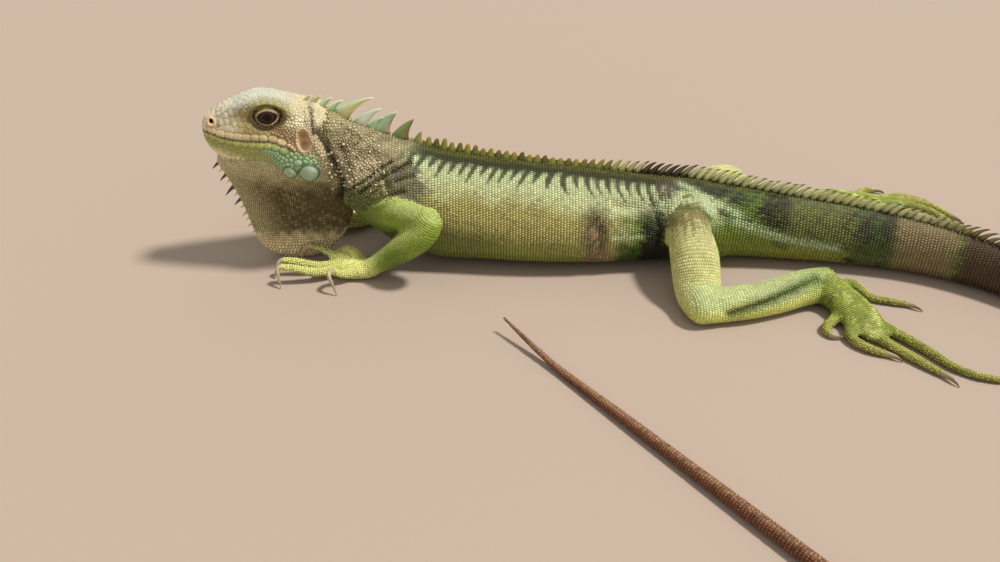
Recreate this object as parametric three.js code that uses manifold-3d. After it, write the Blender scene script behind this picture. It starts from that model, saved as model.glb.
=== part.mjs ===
// A green iguana at rest: belly, dewlap, feet and tail on the floor, head raised, tail swung round in a U.
// Millimetres. +Z is up, the head points to -X, the animal's left side faces -Y, the floor is z = 0.
// The origin is on the floor under the middle of the belly.

import * as THREE from "three";
import { mergeVertices } from "three/addons/utils/BufferGeometryUtils.js";
import Module from "manifold-3d";

const wasm = await Module();
wasm.setup();

// ---------------------------------------------------------------- driving dimensions

const GAP = 0.3;                 // thin parting between neighbouring pieces
const BODY_SIDES = 16;
const TAIL_SIDES = 10;
const LIMB_SIDES = 8;
const DIGIT_SIDES = 5;
const CLAW_SIDES = 4;
const HEAD_SIDES = 16;

// Trunk and neck: sections across X. top and belly are heights, half is the half width, level its height.
const BODY = [
  { x: -139, y: -6.2, top: 99.6, belly: 59.0, half: 16.2, level: 80 },
  { x: -126, y: -5.0, top: 94, belly: 43.0, half: 18.5, level: 71 },
  { x: -116, y: -3.5, top: 87.0, belly: 30.0, half: 20.5, level: 60 },
  { x: -106, y: -1.5, top: 82.0, belly: 19.0, half: 23.5, level: 50 },
  { x: -94, y: 0.0, top: 76.5, belly: 11.0, half: 26.5, level: 41 },
  { x: -80, y: 1.5, top: 71.8, belly: 4.0, half: 29.0, level: 34 },
  { x: -64, y: 2.0, top: 66.8, belly: 0.0, half: 31.0, level: 29 },
  { x: -45, y: 2.0, top: 63.4, belly: 0.0, half: 32.5, level: 26 },
  { x: -20, y: 1.0, top: 60.4, belly: 0.0, half: 34.0, level: 24 },
  { x: 5, y: 0.0, top: 57.8, belly: 0.0, half: 34.0, level: 23 },
  { x: 30, y: -1.0, top: 55.4, belly: 0.0, half: 31.5, level: 23 },
  { x: 52, y: -2.0, top: 53.2, belly: 0.0, half: 28.0, level: 23 },
  { x: 70, y: -3.0, top: 51.8, belly: 0.0, half: 25.0, level: 24 },
  { x: 86, y: -3.5, top: 50.0, belly: 0.0, half: 22.5, level: 24 },
  { x: 104, y: -4.4, top: 46.4, belly: 0.0, half: 19.6, level: 22.5 },
];
const ROOF_POWER = 1.75;         // superellipse power above the widest level: a roof towards the ridge
const BELLY_POWER = 2.5;         // and below it: a belly spread by its own weight
const TAIL_POWER = 1.95;

// Tail: bends of its path over the floor, from the hip to the tip, and its half width and height by length.
const TAIL_START = { x: 100, y: -4, heading: -5.5 };
const TAIL_BENDS = [
  { length: 80, turn: -6 },
  { length: 35, turn: -8 },
  { length: 50, turn: -22 },
  { length: 80, turn: -20 },
  { length: 375, turn: -171 },
  { length: 204, turn: 0 },
];
const TAIL = [
  { s: 0, half: 20.2, tall: 47.6 },
  { s: 23, half: 17.8, tall: 44.4 },
  { s: 45, half: 16.0, tall: 41.4 },
  { s: 76, half: 14.3, tall: 38.2 },
  { s: 104, half: 13.0, tall: 34.8 },
  { s: 130, half: 12.0, tall: 31.8 },
  { s: 160, half: 11.0, tall: 28.6 },
  { s: 260, half: 8.6, tall: 20.8 },
  { s: 360, half: 6.8, tall: 15.6 },
  { s: 460, half: 5.4, tall: 11.8 },
  { s: 560, half: 4.3, tall: 9.0 },
  { s: 660, half: 3.5, tall: 7.2 },
  { s: 730, half: 2.9, tall: 6.0 },
  { s: 780, half: 2.3, tall: 4.7 },
  { s: 812, half: 1.6, tall: 3.3 },
  { s: 824, half: 0.8, tall: 1.6 },
];
const TAIL_LENGTH = TAIL_BENDS.reduce((sum, bend) => sum + bend.length, 0);
const TAIL_TIP_RISE = 8;         // the last stretch lifts clear of the floor
const TAIL_RISE_LENGTH = 52;

// Head: sections behind the snout tip, each with its top, brow, eye, lip and jaw half widths and heights.
const HEAD = { snoutX: -198.3, snoutY: -10.5, yaw: 5 };
const HEAD_SECTIONS = [
  { h: 0.4, top: 88.5, brow: [1.6, 87.8], eye: [2.6, 86.6], lip: [3.2, 84.6], jaw: [2.4, 80.5], bottom: 79 },
  { h: 2.4, top: 92.6, brow: [4.2, 91], eye: [6.2, 88.8], lip: [6.6, 85], jaw: [5.4, 77.6], bottom: 74.2 },
  { h: 6, top: 95.8, brow: [5.8, 94.2], eye: [8.2, 90.6], lip: [8.8, 85], jaw: [7.6, 75.2], bottom: 69.6 },
  { h: 12, top: 99, brow: [6.6, 97.3], eye: [9.4, 92], lip: [10.6, 84.6], jaw: [9.6, 74.4], bottom: 68 },
  { h: 20, top: 102.2, brow: [8.2, 99.8], eye: [10.6, 93.2], lip: [12.8, 83.6], jaw: [12, 74], bottom: 67 },
  { h: 27, top: 104.9, brow: [10.6, 101.2], eye: [12, 94.2], lip: [14.6, 83], jaw: [14, 73], bottom: 66 },
  { h: 33, top: 105.8, brow: [12.8, 101.4], eye: [13, 95], lip: [16, 82.6], jaw: [15.8, 71.8], bottom: 64.6 },
  { h: 40, top: 105.2, brow: [14, 100.8], eye: [13.6, 95], lip: [17.2, 82.2], jaw: [17.4, 69.8], bottom: 62 },
  { h: 47, top: 103.2, brow: [14, 99.4], eye: [15.2, 94.2], lip: [18.4, 81.6], jaw: [19.4, 65], bottom: 56.6 },
  { h: 54, top: 101, brow: [12.8, 97.8], eye: [16.2, 92.8], lip: [19.4, 80.4], jaw: [20.4, 62.8], bottom: 53.6 },
  { h: 61, top: 99.6, brow: [12, 96.4], eye: [16.4, 91.6], lip: [19.4, 79], jaw: [20.2, 61.8], bottom: 52.4 },
  { h: 68, top: 97.8, brow: [11.4, 94.4], eye: [15.4, 89.8], lip: [18, 77.4], jaw: [18, 61.6], bottom: 52.4 },
];
const EYE = { h: 39, z: 94.7, out: 8.6, radii: [8.0, 6.0, 7.0] };
const CHEEK_PLATE = { h: 59, z: 64, out: 19.6, radii: [5.8, 2.4, 5.8] };

// Dewlap: level sections with their front and rear edges and half thickness.
const DEWLAP = [
  { z: 74, front: -189, rear: -118, half: 12 },
  { z: 66, front: -193.2, rear: -117.5, half: 14.6 },
  { z: 56, front: -189.6, rear: -117, half: 12.4 },
  { z: 44, front: -185.4, rear: -117, half: 8.6 },
  { z: 30, front: -182, rear: -118, half: 6.2 },
  { z: 17, front: -179, rear: -123, half: 7.4 },
  { z: 6, front: -173.5, rear: -131.5, half: 7.4 },
  { z: -1, front: -161.5, rear: -141, half: 4.2 },
];
const DEWLAP_LINE = { x: -165, y: -7.6, slope: 0.08 };
const GULAR_SPINES = [
  { z: 64, length: 6.0 },
  { z: 56.5, length: 6.5 },
  { z: 48.5, length: 8.5 },
  { z: 40, length: 6.0 },
  { z: 31, length: 4.5 },
  { z: 23, length: 3.5 },
];

// Crest: the tall nape blades one by one, then a comb of short spines over the back and the tail.
const NAPE_BLADES = [
  { x: -140, length: 5, base: 3.8, lean: 56 },
  { x: -136, length: 6.6, base: 4.6, lean: 58 },
  { x: -131.5, length: 8.2, base: 5.2, lean: 60 },
  { x: -127, length: 9.5, base: 6, lean: 62 },
  { x: -121.5, length: 22, base: 10.2, lean: 65 },
  { x: -111.5, length: 16, base: 9.2, lean: 58 },
  { x: -105.5, length: 9.8, base: 6, lean: 55 },
  { x: -101, length: 16, base: 13.4, lean: 47 },
  { x: -89.4, length: 13.8, base: 11, lean: 41 },
  { x: -78.8, length: 6.5, base: 6.2, lean: 22 },
];
const COMB_PITCH = 7.8;
const COMB_FROM = -73;
const COMB = [
  { at: -73, length: 5.6, lean: 14 },
  { at: -54, length: 7.5, lean: 12 },
  { at: -45, length: 5.8, lean: 14 },
  { at: 10, length: 5.6, lean: 22 },
  { at: 40, length: 8.6, lean: 46 },
  { at: 100, length: 10.0, lean: 52 },
  { at: 190, length: 9.6, lean: 54 },
  { at: 250, length: 8.4, lean: 56 },
  { at: 330, length: 6.2, lean: 58 },
  { at: 430, length: 3.6, lean: 60 },
];
const COMB_TO = 404;             // distance along the back from x = 0: the comb fades out on the tail
const BLADE_THICK = 2.4;
const BLADE_TIP = 0.6;

// Limbs: stations are [x, y, z, half width, half height], all for the left side of the animal.
const FORELEG = {
  upper: [[-104, -13, 34, 9, 11], [-94, -22, 36.5, 8.6, 9.6], [-82, -32, 39.5, 8, 8.4],
    [-71, -39.5, 41.5, 8, 7.8]],
  lower: [[-70, -40, 41, 8, 7.6], [-74, -40.5, 34, 9, 8.8], [-84, -39, 25, 9, 8.8], [-96, -36, 15, 7, 7],
    [-106, -33.5, 7.4, 7, 5.4]],
  palm: [[-106, -33.5, 6.2, 7, 5.4], [-114, -31.5, 4.6, 8.6, 5.4], [-123, -29.5, 4.1, 9.4, 4.8],
    [-129, -28.5, 3, 7, 3.6]],
  digits: [
    { name: "1", line: [[-113, -25, 6.1, 3.4, 3.2], [-119, -21, 11, 3.2, 3], [-125, -18, 9.5, 2.8, 2.6],
      [-129, -16.5, 5.2, 2.3, 2.2]], claw: [-133, -15.8, 0.3] },
    { name: "2", line: [[-121, -24, 5.2, 3.4, 3.2], [-131, -21.5, 8.6, 2.9, 2.8], [-138, -19.2, 11, 2.6, 2.5],
      [-144, -17.4, 11.6, 2.3, 2.2]], claw: [-152, -16.4, 0.3] },
    { name: "3", line: [[-125, -27, 5, 3.4, 3.2], [-139, -29.5, 5.6, 3.1, 3], [-150, -30.4, 8.8, 2.9, 2.8],
      [-158, -30.8, 10.2, 2.6, 2.5]], claw: [-163.5, -35.4, 0.3] },
    { name: "4", line: [[-125, -32, 5, 3.6, 3.2], [-138, -37.5, 6, 3.2, 3], [-149, -39.4, 9.6, 3, 2.8],
      [-158, -40, 11.2, 2.7, 2.6]], claw: [-158, -46.2, 0.3] },
    { name: "5", line: [[-116, -34.5, 4.6, 3.4, 3.2], [-122, -40, 6, 2.9, 2.8], [-127, -43.5, 10.6, 2.5, 2.4],
      [-128.5, -46, 11.4, 2.2, 2.1]], claw: [-124.5, -53.5, 0.3] },
  ],
};
const HIND_LEFT = {
  upper: [[85, -8, 29, 14.5, 14], [78.5, -28, 28, 12.5, 14], [78.5, -48, 22.5, 14, 12.5],
    [79, -66, 9.5, 13, 10.5], [80, -78, 8.5, 11, 9.4]],
  lower: [[78, -77, 8.6, 11, 9.6], [104, -73, 9.2, 10.4, 10], [122, -67.5, 9.6, 10.2, 10.4],
    [138, -61.5, 10.8, 10, 11], [151, -58, 10.8, 9.4, 10.8]],
  palm: [[149, -58, 10.4, 9, 10.4], [158, -66, 7, 10.4, 7.8], [165, -83, 4.8, 11.8, 5.6],
    [169, -94, 3.2, 8.4, 3.8]],
  digits: [
    { name: "1", line: [[157, -73, 3.4, 3.6, 3.4], [149.5, -82, 2.8, 3.4, 3.2], [144, -88.5, 2.6, 3.1, 3],
      [144.5, -93.6, 2.2, 2.6, 2.5]], claw: [153, -95.4, 0.3] },
    { name: "2", line: [[158, -86, 3.4, 3.8, 3.4], [155, -98, 2.8, 3.4, 3.2], [161, -106, 2.6, 3, 2.9],
      [169, -110.4, 2.1, 2.5, 2.4]], claw: [176, -114.8, 0.3] },
    { name: "3", line: [[164, -88, 3.8, 3.8, 3.6], [173, -103, 2.8, 3.4, 3.2], [182, -115, 2.6, 3, 2.9],
      [191, -126, 2.1, 2.5, 2.4]], claw: [196.5, -135, 0.3] },
    { name: "4", line: [[170, -83, 4, 3.8, 3.6], [181, -95, 3.2, 3.5, 3.3], [191, -108, 2.6, 3.1, 3],
      [199, -121, 2.4, 2.8, 2.7], [209, -128.5, 2.2, 2.6, 2.5], [219, -131.5, 2, 2.4, 2.3]],
    claw: [229, -133, 0.3] },
    { name: "5", line: [[160, -54, 8.4, 4, 3.8], [169.5, -53, 7.4, 3.6, 3.4], [178, -58, 2.6, 3.1, 3],
      [188, -62, 2.3, 2.7, 2.6], [196.5, -64.5, 2, 2.4, 2.3]], claw: [204, -69.5, 0.3] },
  ],
};
const HIND_RIGHT = {
  upper: [[86, 2, 29, 15, 14], [94, 16, 28.5, 13.5, 13.5], [104, 34, 26, 12.5, 12.5], [115, 50.5, 20.6, 11.4, 11.4],
    [121.5, 59, 17, 10.4, 10.7]],
  lower: [[120.5, 58, 16, 10.6, 10.8], [139, 51.5, 9.2, 9.6, 9], [159, 48, 7.6, 9, 7.8],
    [176, 49.5, 7.2, 8.4, 7.5], [189, 51, 7.2, 7.8, 7.4]],
  palm: [[188, 51.8, 7, 7.6, 7.4], [199, 50.5, 5.8, 10, 6.6], [215, 50, 4.7, 11.8, 5.4],
    [228, 50, 3.2, 8.4, 3.8]],
  digits: [
    { name: "1", line: [[208, 57, 3.4, 3.6, 3.4], [213, 67, 2.8, 3.4, 3.2], [219, 72.5, 2.6, 3.1, 3],
      [225, 74, 2.2, 2.6, 2.5]], claw: [233.5, 72, 0.3] },
    { name: "2", line: [[222, 57, 3.4, 3.8, 3.4], [234, 62.5, 2.8, 3.4, 3.2], [244, 63, 2.6, 3, 2.9],
      [252, 60, 2.1, 2.5, 2.4]], claw: [259.5, 54.6, 0.3] },
    { name: "3", line: [[223, 51.5, 5.2, 3.8, 3.6], [240, 53, 5.2, 3.4, 3.2], [254, 47.5, 4.2, 3, 2.9],
      [264, 37, 2.1, 2.5, 2.4]], claw: [269, 27.6, 0.3] },
    { name: "4", line: [[222, 45.5, 5.4, 3.8, 3.6], [238, 45, 5.4, 3.5, 3.3], [251, 38, 4.8, 3.1, 3],
      [260, 27, 2.4, 2.8, 2.7], [267, 17, 2.2, 2.6, 2.5], [272, 8, 2, 2.4, 2.3]], claw: [276.5, -1.5, 0.3] },
    { name: "5", line: [[197, 44, 8.2, 4, 3.8], [204, 36, 7, 3.6, 3.4], [213, 31, 2.6, 3.1, 3],
      [223, 29, 2.3, 2.7, 2.6], [231, 28.5, 2, 2.4, 2.3]], claw: [240, 27, 0.3] },
  ],
};
const RIGHT_FORELEG_SHIFT = -5;  // the right hand is planted a little further forward
const CLAW_ROOT = 1.9;           // claw radius at its root

// Cuts that part the joined body, as lines in the XZ plane or places along the back and the tail.
const MOUTH_LINE = [[-206, 86.8], [-176, 82.4], [-147, 79.4], [-154, 58]];
const THROAT_LINE = [[-206, 68.2], [-168, 67.2], [-150, 59], [-124, 56.4]];
const NAPE_LINE = [[-146, 112], [-132, 82], [-126.5, 54], [-122.5, 8]];
const SHOULDER_LINE = [[-78, 109], [-96.4, 89], [-104, 80.5], [-118.5, 10]];
const BACK_CUTS = [-46, 55, 108, 196, 290, 400, 510, 620, 750];

// ---------------------------------------------------------------- colours

const SKINS = {
  headGrey: { color: 0xb9b49a, roughness: 0.62 },
  jawGreen: { color: 0x7f9a5c, roughness: 0.6 },
  neckTan: { color: 0x9c9168, roughness: 0.7 },
  dewlapOlive: { color: 0x6d6844, roughness: 0.72 },
  flankGreen: { color: 0x9fa860, roughness: 0.66 },
  legGreen: { color: 0x84a044, roughness: 0.64 },
  footLime: { color: 0xb7c15c, roughness: 0.62 },
  tailGreen: { color: 0x6c7a3c, roughness: 0.68 },
  tailGrey: { color: 0x8a8468, roughness: 0.7 },
  tailRust: { color: 0x7a4a2c, roughness: 0.7 },
  claw: { color: 0x6b5a4c, roughness: 0.4 },
  eye: { color: 0x2a1a12, roughness: 0.12 },
  plate: { color: 0x8fb49c, roughness: 0.45 },
};

// ---------------------------------------------------------------- small maths

const radians = THREE.MathUtils.degToRad;
const UP = new THREE.Vector3(0, 0, 1);

// Smooth value of each numeric field at a place along a table of stations.
function sample(table, key, at) {
  const last = table.length - 1;
  let i = 0;
  while (i < last - 1 && table[i + 1][key] < at) i += 1;
  const [a, b, c, d] = [i - 1, i, i + 1, i + 2].map((n) => table[THREE.MathUtils.clamp(n, 0, last)]);
  const t = THREE.MathUtils.clamp((at - b[key]) / (c[key] - b[key]), 0, 1);
  const blend = (p, q, r, s) => {
    const spanIn = Math.max(c[key] - a[key], 1e-6);
    const spanOut = Math.max(d[key] - b[key], 1e-6);
    const width = c[key] - b[key];
    const slopeIn = (r - p) / spanIn * width;
    const slopeOut = (s - q) / spanOut * width;
    const t2 = t * t;
    const t3 = t2 * t;
    const ends = (2 * t3 - 3 * t2 + 1) * q + (3 * t2 - 2 * t3) * r;
    return ends + (t3 - 2 * t2 + t) * slopeIn + (t3 - t2) * slopeOut;
  };
  const out = {};
  for (const field of Object.keys(b)) {
    const each = (_, n) => blend(a[field][n], b[field][n], c[field][n], d[field][n]);
    if (Array.isArray(b[field])) out[field] = b[field].map(each);
    else out[field] = blend(a[field], b[field], c[field], d[field]);
  }
  return out;
}

// Places from first to last with a step close to the one asked for.
function steps(first, last, step) {
  const count = Math.max(1, Math.round((last - first) / step));
  return Array.from({ length: count + 1 }, (_, i) => first + (last - first) * i / count);
}

const power = (value, exponent) => Math.sign(value) * Math.abs(value) ** exponent;

// ---------------------------------------------------------------- solids

// A closed skin through rings of equal count, with a flat end at each side.
function loft(rings) {
  const count = rings[0].length;
  const positions = rings.flat().flatMap((p) => [p.x, p.y, p.z]);
  const index = [];
  for (let r = 0; r < rings.length - 1; r += 1) {
    for (let i = 0; i < count; i += 1) {
      const a = r * count + i;
      const b = r * count + (i + 1) % count;
      index.push(a, b, b + count, a, b + count, a + count);
    }
  }
  for (const [start, turned] of [[0, true], [(rings.length - 1) * count, false]]) {
    for (let i = 1; i < count - 1; i += 1) {
      index.push(start, start + i + (turned ? 1 : 0), start + i + (turned ? 0 : 1));
    }
  }
  const geometry = new THREE.BufferGeometry();
  geometry.setAttribute("position", new THREE.Float32BufferAttribute(positions, 3));
  geometry.setIndex(index);
  return geometry;
}

function volume(geometry) {
  const p = geometry.getAttribute("position");
  const index = geometry.getIndex();
  const [a, b, c] = [0, 1, 2].map(() => new THREE.Vector3());
  let sum = 0;
  for (let i = 0; i < index.count; i += 3) {
    a.fromBufferAttribute(p, index.getX(i));
    b.fromBufferAttribute(p, index.getX(i + 1));
    c.fromBufferAttribute(p, index.getX(i + 2));
    sum += a.dot(b.cross(c)) / 6;
  }
  return sum;
}

// A three.js geometry as a solid for joins and cuts, with its faces turned outwards.
function solid(source) {
  const bare = source.clone();
  for (const name of Object.keys(bare.attributes)) {
    if (name !== "position") bare.deleteAttribute(name);
  }
  const merged = mergeVertices(bare, 1e-4);
  const triangles = Uint32Array.from(merged.getIndex().array);
  if (volume(merged) < 0) triangles.reverse();
  return new wasm.Manifold(new wasm.Mesh({
    numProp: 3,
    vertProperties: Float32Array.from(merged.getAttribute("position").array),
    triVerts: triangles,
  }));
}

function geometryOf(piece) {
  const mesh = piece.getMesh();
  const geometry = new THREE.BufferGeometry();
  const positions = Float32Array.from(mesh.vertProperties);
  geometry.setAttribute("position", new THREE.Float32BufferAttribute(positions, 3));
  geometry.setIndex(Array.from(mesh.triVerts));
  return geometry;
}

const joinAll = (pieces) => pieces.reduce((sum, piece) => sum.add(piece));
const cutAll = (piece, tools) => tools.reduce((rest, tool) => rest.subtract(tool), piece);

function boxSolid(size, position, quaternion = new THREE.Quaternion()) {
  const geometry = new THREE.BoxGeometry(...size);
  geometry.applyQuaternion(quaternion);
  geometry.translate(...position);
  return solid(geometry);
}

const belowFloor = boxSolid([1200, 1200, 60], [0, 0, -30]);

// A thin sheet that follows a line in the XZ plane and spans Y around a middle.
function sheetGeometry(line, middleY, halfWidth) {
  const shape = new THREE.Shape();
  const left = [];
  const right = [];
  line.forEach(([x, z], i) => {
    const [x0, z0] = line[Math.max(0, i - 1)];
    const [x1, z1] = line[Math.min(line.length - 1, i + 1)];
    const along = new THREE.Vector2(x1 - x0, z1 - z0).normalize().multiplyScalar(GAP / 2);
    left.push(new THREE.Vector2(x - along.y, z + along.x));
    right.push(new THREE.Vector2(x + along.y, z - along.x));
  });
  shape.setFromPoints([...left, ...right.reverse()]);
  const geometry = new THREE.ExtrudeGeometry(shape, { depth: 2 * halfWidth, bevelEnabled: false });
  geometry.rotateX(Math.PI / 2);
  geometry.translate(0, middleY + halfWidth, 0);
  return geometry;
}

const sheet = (line, middleY, halfWidth) => solid(sheetGeometry(line, middleY, halfWidth));

// A thin sheet across the back or the tail. Over the ridge it leans with the comb and passes between blades.
function backCut(distance) {
  const between = COMB_FROM + (Math.round((distance - COMB_FROM) / COMB_PITCH) + 0.5) * COMB_PITCH;
  const at = ridgeAt(between);
  const lean = radians(sample(COMB, "at", between).lean);
  const [ridge, over] = [at.point.z, 14];
  const line = [[0, -6], [0, ridge - 1.4], [over * Math.sin(lean), ridge - 1.4 + over * Math.cos(lean)]];
  const turn = new THREE.Matrix4().makeBasis(at.ahead, at.side, UP);
  turn.setPosition(at.point.x, at.point.y, 0);
  return solid(sheetGeometry(line, 0, at.half + 6).applyMatrix4(turn));
}

// A thin plate across a direction.
function plate(position, direction, span) {
  const heading = direction.clone().normalize();
  const turn = new THREE.Quaternion().setFromUnitVectors(new THREE.Vector3(1, 0, 0), heading);
  return boxSolid([GAP, span, span], position, turn);
}

// Part a joined solid by thin cutters and name what comes apart by a point inside each piece.
function part(whole, cutters, labels) {
  const loose = cutAll(whole, cutters).decompose().filter((piece) => Math.abs(piece.volume()) > 2);
  const named = {};
  for (const [name, point] of Object.entries(labels)) {
    const probe = boxSolid([0.4, 0.4, 0.4], point);
    const found = loose.filter((piece) => !piece.intersect(probe).isEmpty());
    if (found.length !== 1) throw new Error(`${name}: ${found.length} pieces at its point`);
    named[name] = found[0];
    loose.splice(loose.indexOf(found[0]), 1);
  }
  if (loose.length) {
    const box = loose[0].boundingBox();
    throw new Error(`${loose.length} pieces left over, the first from ${box.min} to ${box.max}`);
  }
  return named;
}

// ---------------------------------------------------------------- trunk, neck and tail

// One section as pairs [across, height]: a roof over the widest level and a spread belly below it.
// A flat strip runs along the ridge and another along the underside.
function section(sides, { half, top, level, bottom }, roofPower, bellyPower, grow) {
  return Array.from({ length: sides }, (_, i) => {
    const angle = 2 * Math.PI * (i + 0.5) / sides;
    const above = Math.cos(angle) >= 0;
    const exponent = 2 / (above ? roofPower : bellyPower);
    const reach = ((above ? top - level : level - bottom) + grow) / Math.cos(Math.PI / sides) ** exponent;
    const side = (half + grow) * power(Math.sin(angle), exponent);
    return [side, level + reach * power(Math.cos(angle), exponent)];
  });
}

function bodyRing(station, grow) {
  const shape = { half: station.half, top: station.top, level: station.level, bottom: station.belly };
  return section(BODY_SIDES, shape, ROOF_POWER, BELLY_POWER, grow)
    .map(([across, z]) => new THREE.Vector3(station.x, station.y + across, z));
}

function trunkSolid(grow = 0) {
  const places = steps(BODY[0].x, BODY.at(-1).x, 13.5);
  return solid(loft(places.map((x) => bodyRing({ ...sample(BODY, "x", x), x }, grow))));
}

// The tail's path over the floor: points one millimetre apart with their heading.
function tailPath() {
  const path = [{ x: TAIL_START.x, y: TAIL_START.y, heading: TAIL_START.heading }];
  for (const bend of TAIL_BENDS) {
    for (let i = 0; i < bend.length; i += 1) {
      const last = path.at(-1);
      const heading = last.heading + bend.turn / bend.length;
      const middle = radians((last.heading + heading) / 2);
      path.push({ x: last.x + Math.cos(middle), y: last.y + Math.sin(middle), heading });
    }
  }
  return path;
}
const PATH = tailPath();

function tailAt(s) {
  const from = PATH[THREE.MathUtils.clamp(Math.round(s), 0, PATH.length - 1)];
  const heading = radians(from.heading);
  const size = sample(TAIL, "s", s);
  const lifted = Math.max(0, s - (TAIL_LENGTH - TAIL_RISE_LENGTH)) / TAIL_RISE_LENGTH;
  return {
    x: from.x,
    y: from.y,
    floor: TAIL_TIP_RISE * lifted ** 1.6,
    top: TAIL_TIP_RISE * lifted ** 1.6 + size.tall,
    half: size.half,
    side: new THREE.Vector3(-Math.sin(heading), Math.cos(heading), 0),
    ahead: new THREE.Vector3(Math.cos(heading), Math.sin(heading), 0),
  };
}

function tailRing(s, grow) {
  const at = tailAt(s);
  const level = at.floor + (at.top - at.floor) * 0.47;
  const shape = { half: at.half, top: at.top, level, bottom: at.floor };
  return section(TAIL_SIDES, shape, TAIL_POWER, TAIL_POWER, grow)
    .map(([across, z]) => new THREE.Vector3(at.x, at.y, z).addScaledVector(at.side, across));
}

function tailSolid(grow = 0) {
  const places = [...steps(0, 150, 15), ...steps(174, TAIL_LENGTH - 24, 25), TAIL_LENGTH - 9, TAIL_LENGTH];
  return solid(loft(places.map((s) => tailRing(s, grow))));
}

// ---------------------------------------------------------------- crest

// One backswept blade: a lozenge root sunk under the ridge and a small blunt tip.
function blade(root, ahead, side, length, base, lean) {
  const tilt = radians(lean);
  const reach = ahead.clone().multiplyScalar(Math.sin(tilt)).addScaledVector(UP, Math.cos(tilt));
  const ring = (middle, long, thick) => [
    middle.clone().addScaledVector(ahead, -long / 2),
    middle.clone().addScaledVector(ahead, long / 2).addScaledVector(side, thick / 2),
    middle.clone().addScaledVector(ahead, long / 2).addScaledVector(side, -thick / 2),
  ];
  const foot = root.clone().addScaledVector(UP, -1.6);
  const tip = root.clone().addScaledVector(reach, length);
  return solid(loft([ring(foot, base, BLADE_THICK), ring(tip, BLADE_TIP * 1.2, BLADE_TIP)]));
}

// The ridge of the back, by distance along it from x = 0: over the trunk and then over the tail.
function ridgeAt(distance) {
  if (distance <= TAIL_START.x) {
    const { y, top, half } = sample(BODY, "x", distance);
    return {
      point: new THREE.Vector3(distance, y, top),
      ahead: new THREE.Vector3(1, 0, 0),
      side: new THREE.Vector3(0, 1, 0),
      half,
    };
  }
  const { x, y, top, ahead, side, half } = tailAt(distance - TAIL_START.x);
  return { point: new THREE.Vector3(x, y, top), ahead, side, half };
}

function crestSolids() {
  const blades = NAPE_BLADES.map((nape) => {
    const at = ridgeAt(nape.x);
    return blade(at.point, at.ahead, at.side, nape.length, nape.base, nape.lean);
  });
  for (let distance = COMB_FROM; distance < COMB_TO; distance += COMB_PITCH) {
    const at = ridgeAt(distance);
    const comb = sample(COMB, "at", distance);
    blades.push(blade(at.point, at.ahead, at.side, comb.length, COMB_PITCH * 0.82, comb.lean));
  }
  return blades;
}

// ---------------------------------------------------------------- head and dewlap

const headYaw = radians(HEAD.yaw);
const headAhead = new THREE.Vector3(Math.cos(headYaw), Math.sin(headYaw), 0);
const headSide = new THREE.Vector3(-Math.sin(headYaw), Math.cos(headYaw), 0);

// A point of the head from its distance behind the snout tip, its sideways offset and its height.
function headPoint(h, across, z) {
  const snout = new THREE.Vector3(HEAD.snoutX, HEAD.snoutY, z);
  return snout.addScaledVector(headAhead, h).addScaledVector(headSide, across);
}

function headRing(section) {
  const shoulder = section.top - (section.top - section.brow[1]) * 0.2;
  const half = [[0, section.top], [section.brow[0] * 0.62, shoulder],
    section.brow, section.eye, section.lip, section.jaw,
    [section.jaw[0] * 0.55, section.bottom + 1.2], [0, section.bottom]];
  const loop = [...half, ...half.slice(1, -1).reverse().map(([across, z]) => [-across, z])];
  const corners = loop.map(([across, z]) => new THREE.Vector3(across, z, 0));
  const curve = new THREE.CatmullRomCurve3(corners, true, "centripetal");
  return Array.from({ length: HEAD_SIDES }, (_, i) => {
    const p = curve.getPoint(i / HEAD_SIDES);
    return headPoint(section.h, p.x, p.y);
  });
}

function headSolid() {
  const places = [0.4, 2, 6, ...steps(12, 68, 9)];
  return solid(loft(places.map((h) => headRing({ ...sample(HEAD_SECTIONS, "h", h), h }))));
}

function ellipsoid(radii, h, across, z, grow = 0) {
  const geometry = new THREE.SphereGeometry(1, 9, 6);
  geometry.rotateX(Math.PI / 2);
  geometry.scale(...radii.map((radius) => radius + grow));
  geometry.rotateZ(headYaw);
  const at = headPoint(h, across, z);
  geometry.translate(at.x, at.y, at.z);
  return solid(geometry);
}

const dewlapY = (x) => DEWLAP_LINE.y + (x - DEWLAP_LINE.x) * DEWLAP_LINE.slope;

function dewlapSolid(grow = 0) {
  const sides = 10;
  return solid(loft(DEWLAP.map((level) => Array.from({ length: sides }, (_, i) => {
    const angle = 2 * Math.PI * i / sides;
    const middle = (level.front + level.rear) / 2;
    const x = middle + ((level.rear - level.front) / 2 + grow) * power(Math.cos(angle), 0.8);
    return new THREE.Vector3(x, dewlapY(x) + (level.half + grow) * power(Math.sin(angle), 0.9), level.z);
  }))));
}

function gularSolids() {
  return GULAR_SPINES.map((spine) => {
    const edge = sample([...DEWLAP].reverse(), "z", spine.z);
    const corners = (long, thick) => [[0, long], [thick, 0], [0, -long], [-thick, 0]];
    const ring = (x, z, long, thick) => corners(long, thick).map(([across, rise]) => (
      new THREE.Vector3(x, dewlapY(x) + across, z + rise)));
    return solid(loft([
      ring(edge.front + 2, spine.z, 2.0, 1.2),
      ring(edge.front - spine.length * 0.55, spine.z - spine.length * 0.8, 0.5, 0.4),
    ]));
  });
}

// ---------------------------------------------------------------- limbs

const vectorAt = ([x, y, z], flip) => new THREE.Vector3(x, y * flip, z);
const lineThrough = (points) => new THREE.CatmullRomCurve3(points, false, "centripetal");

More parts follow.
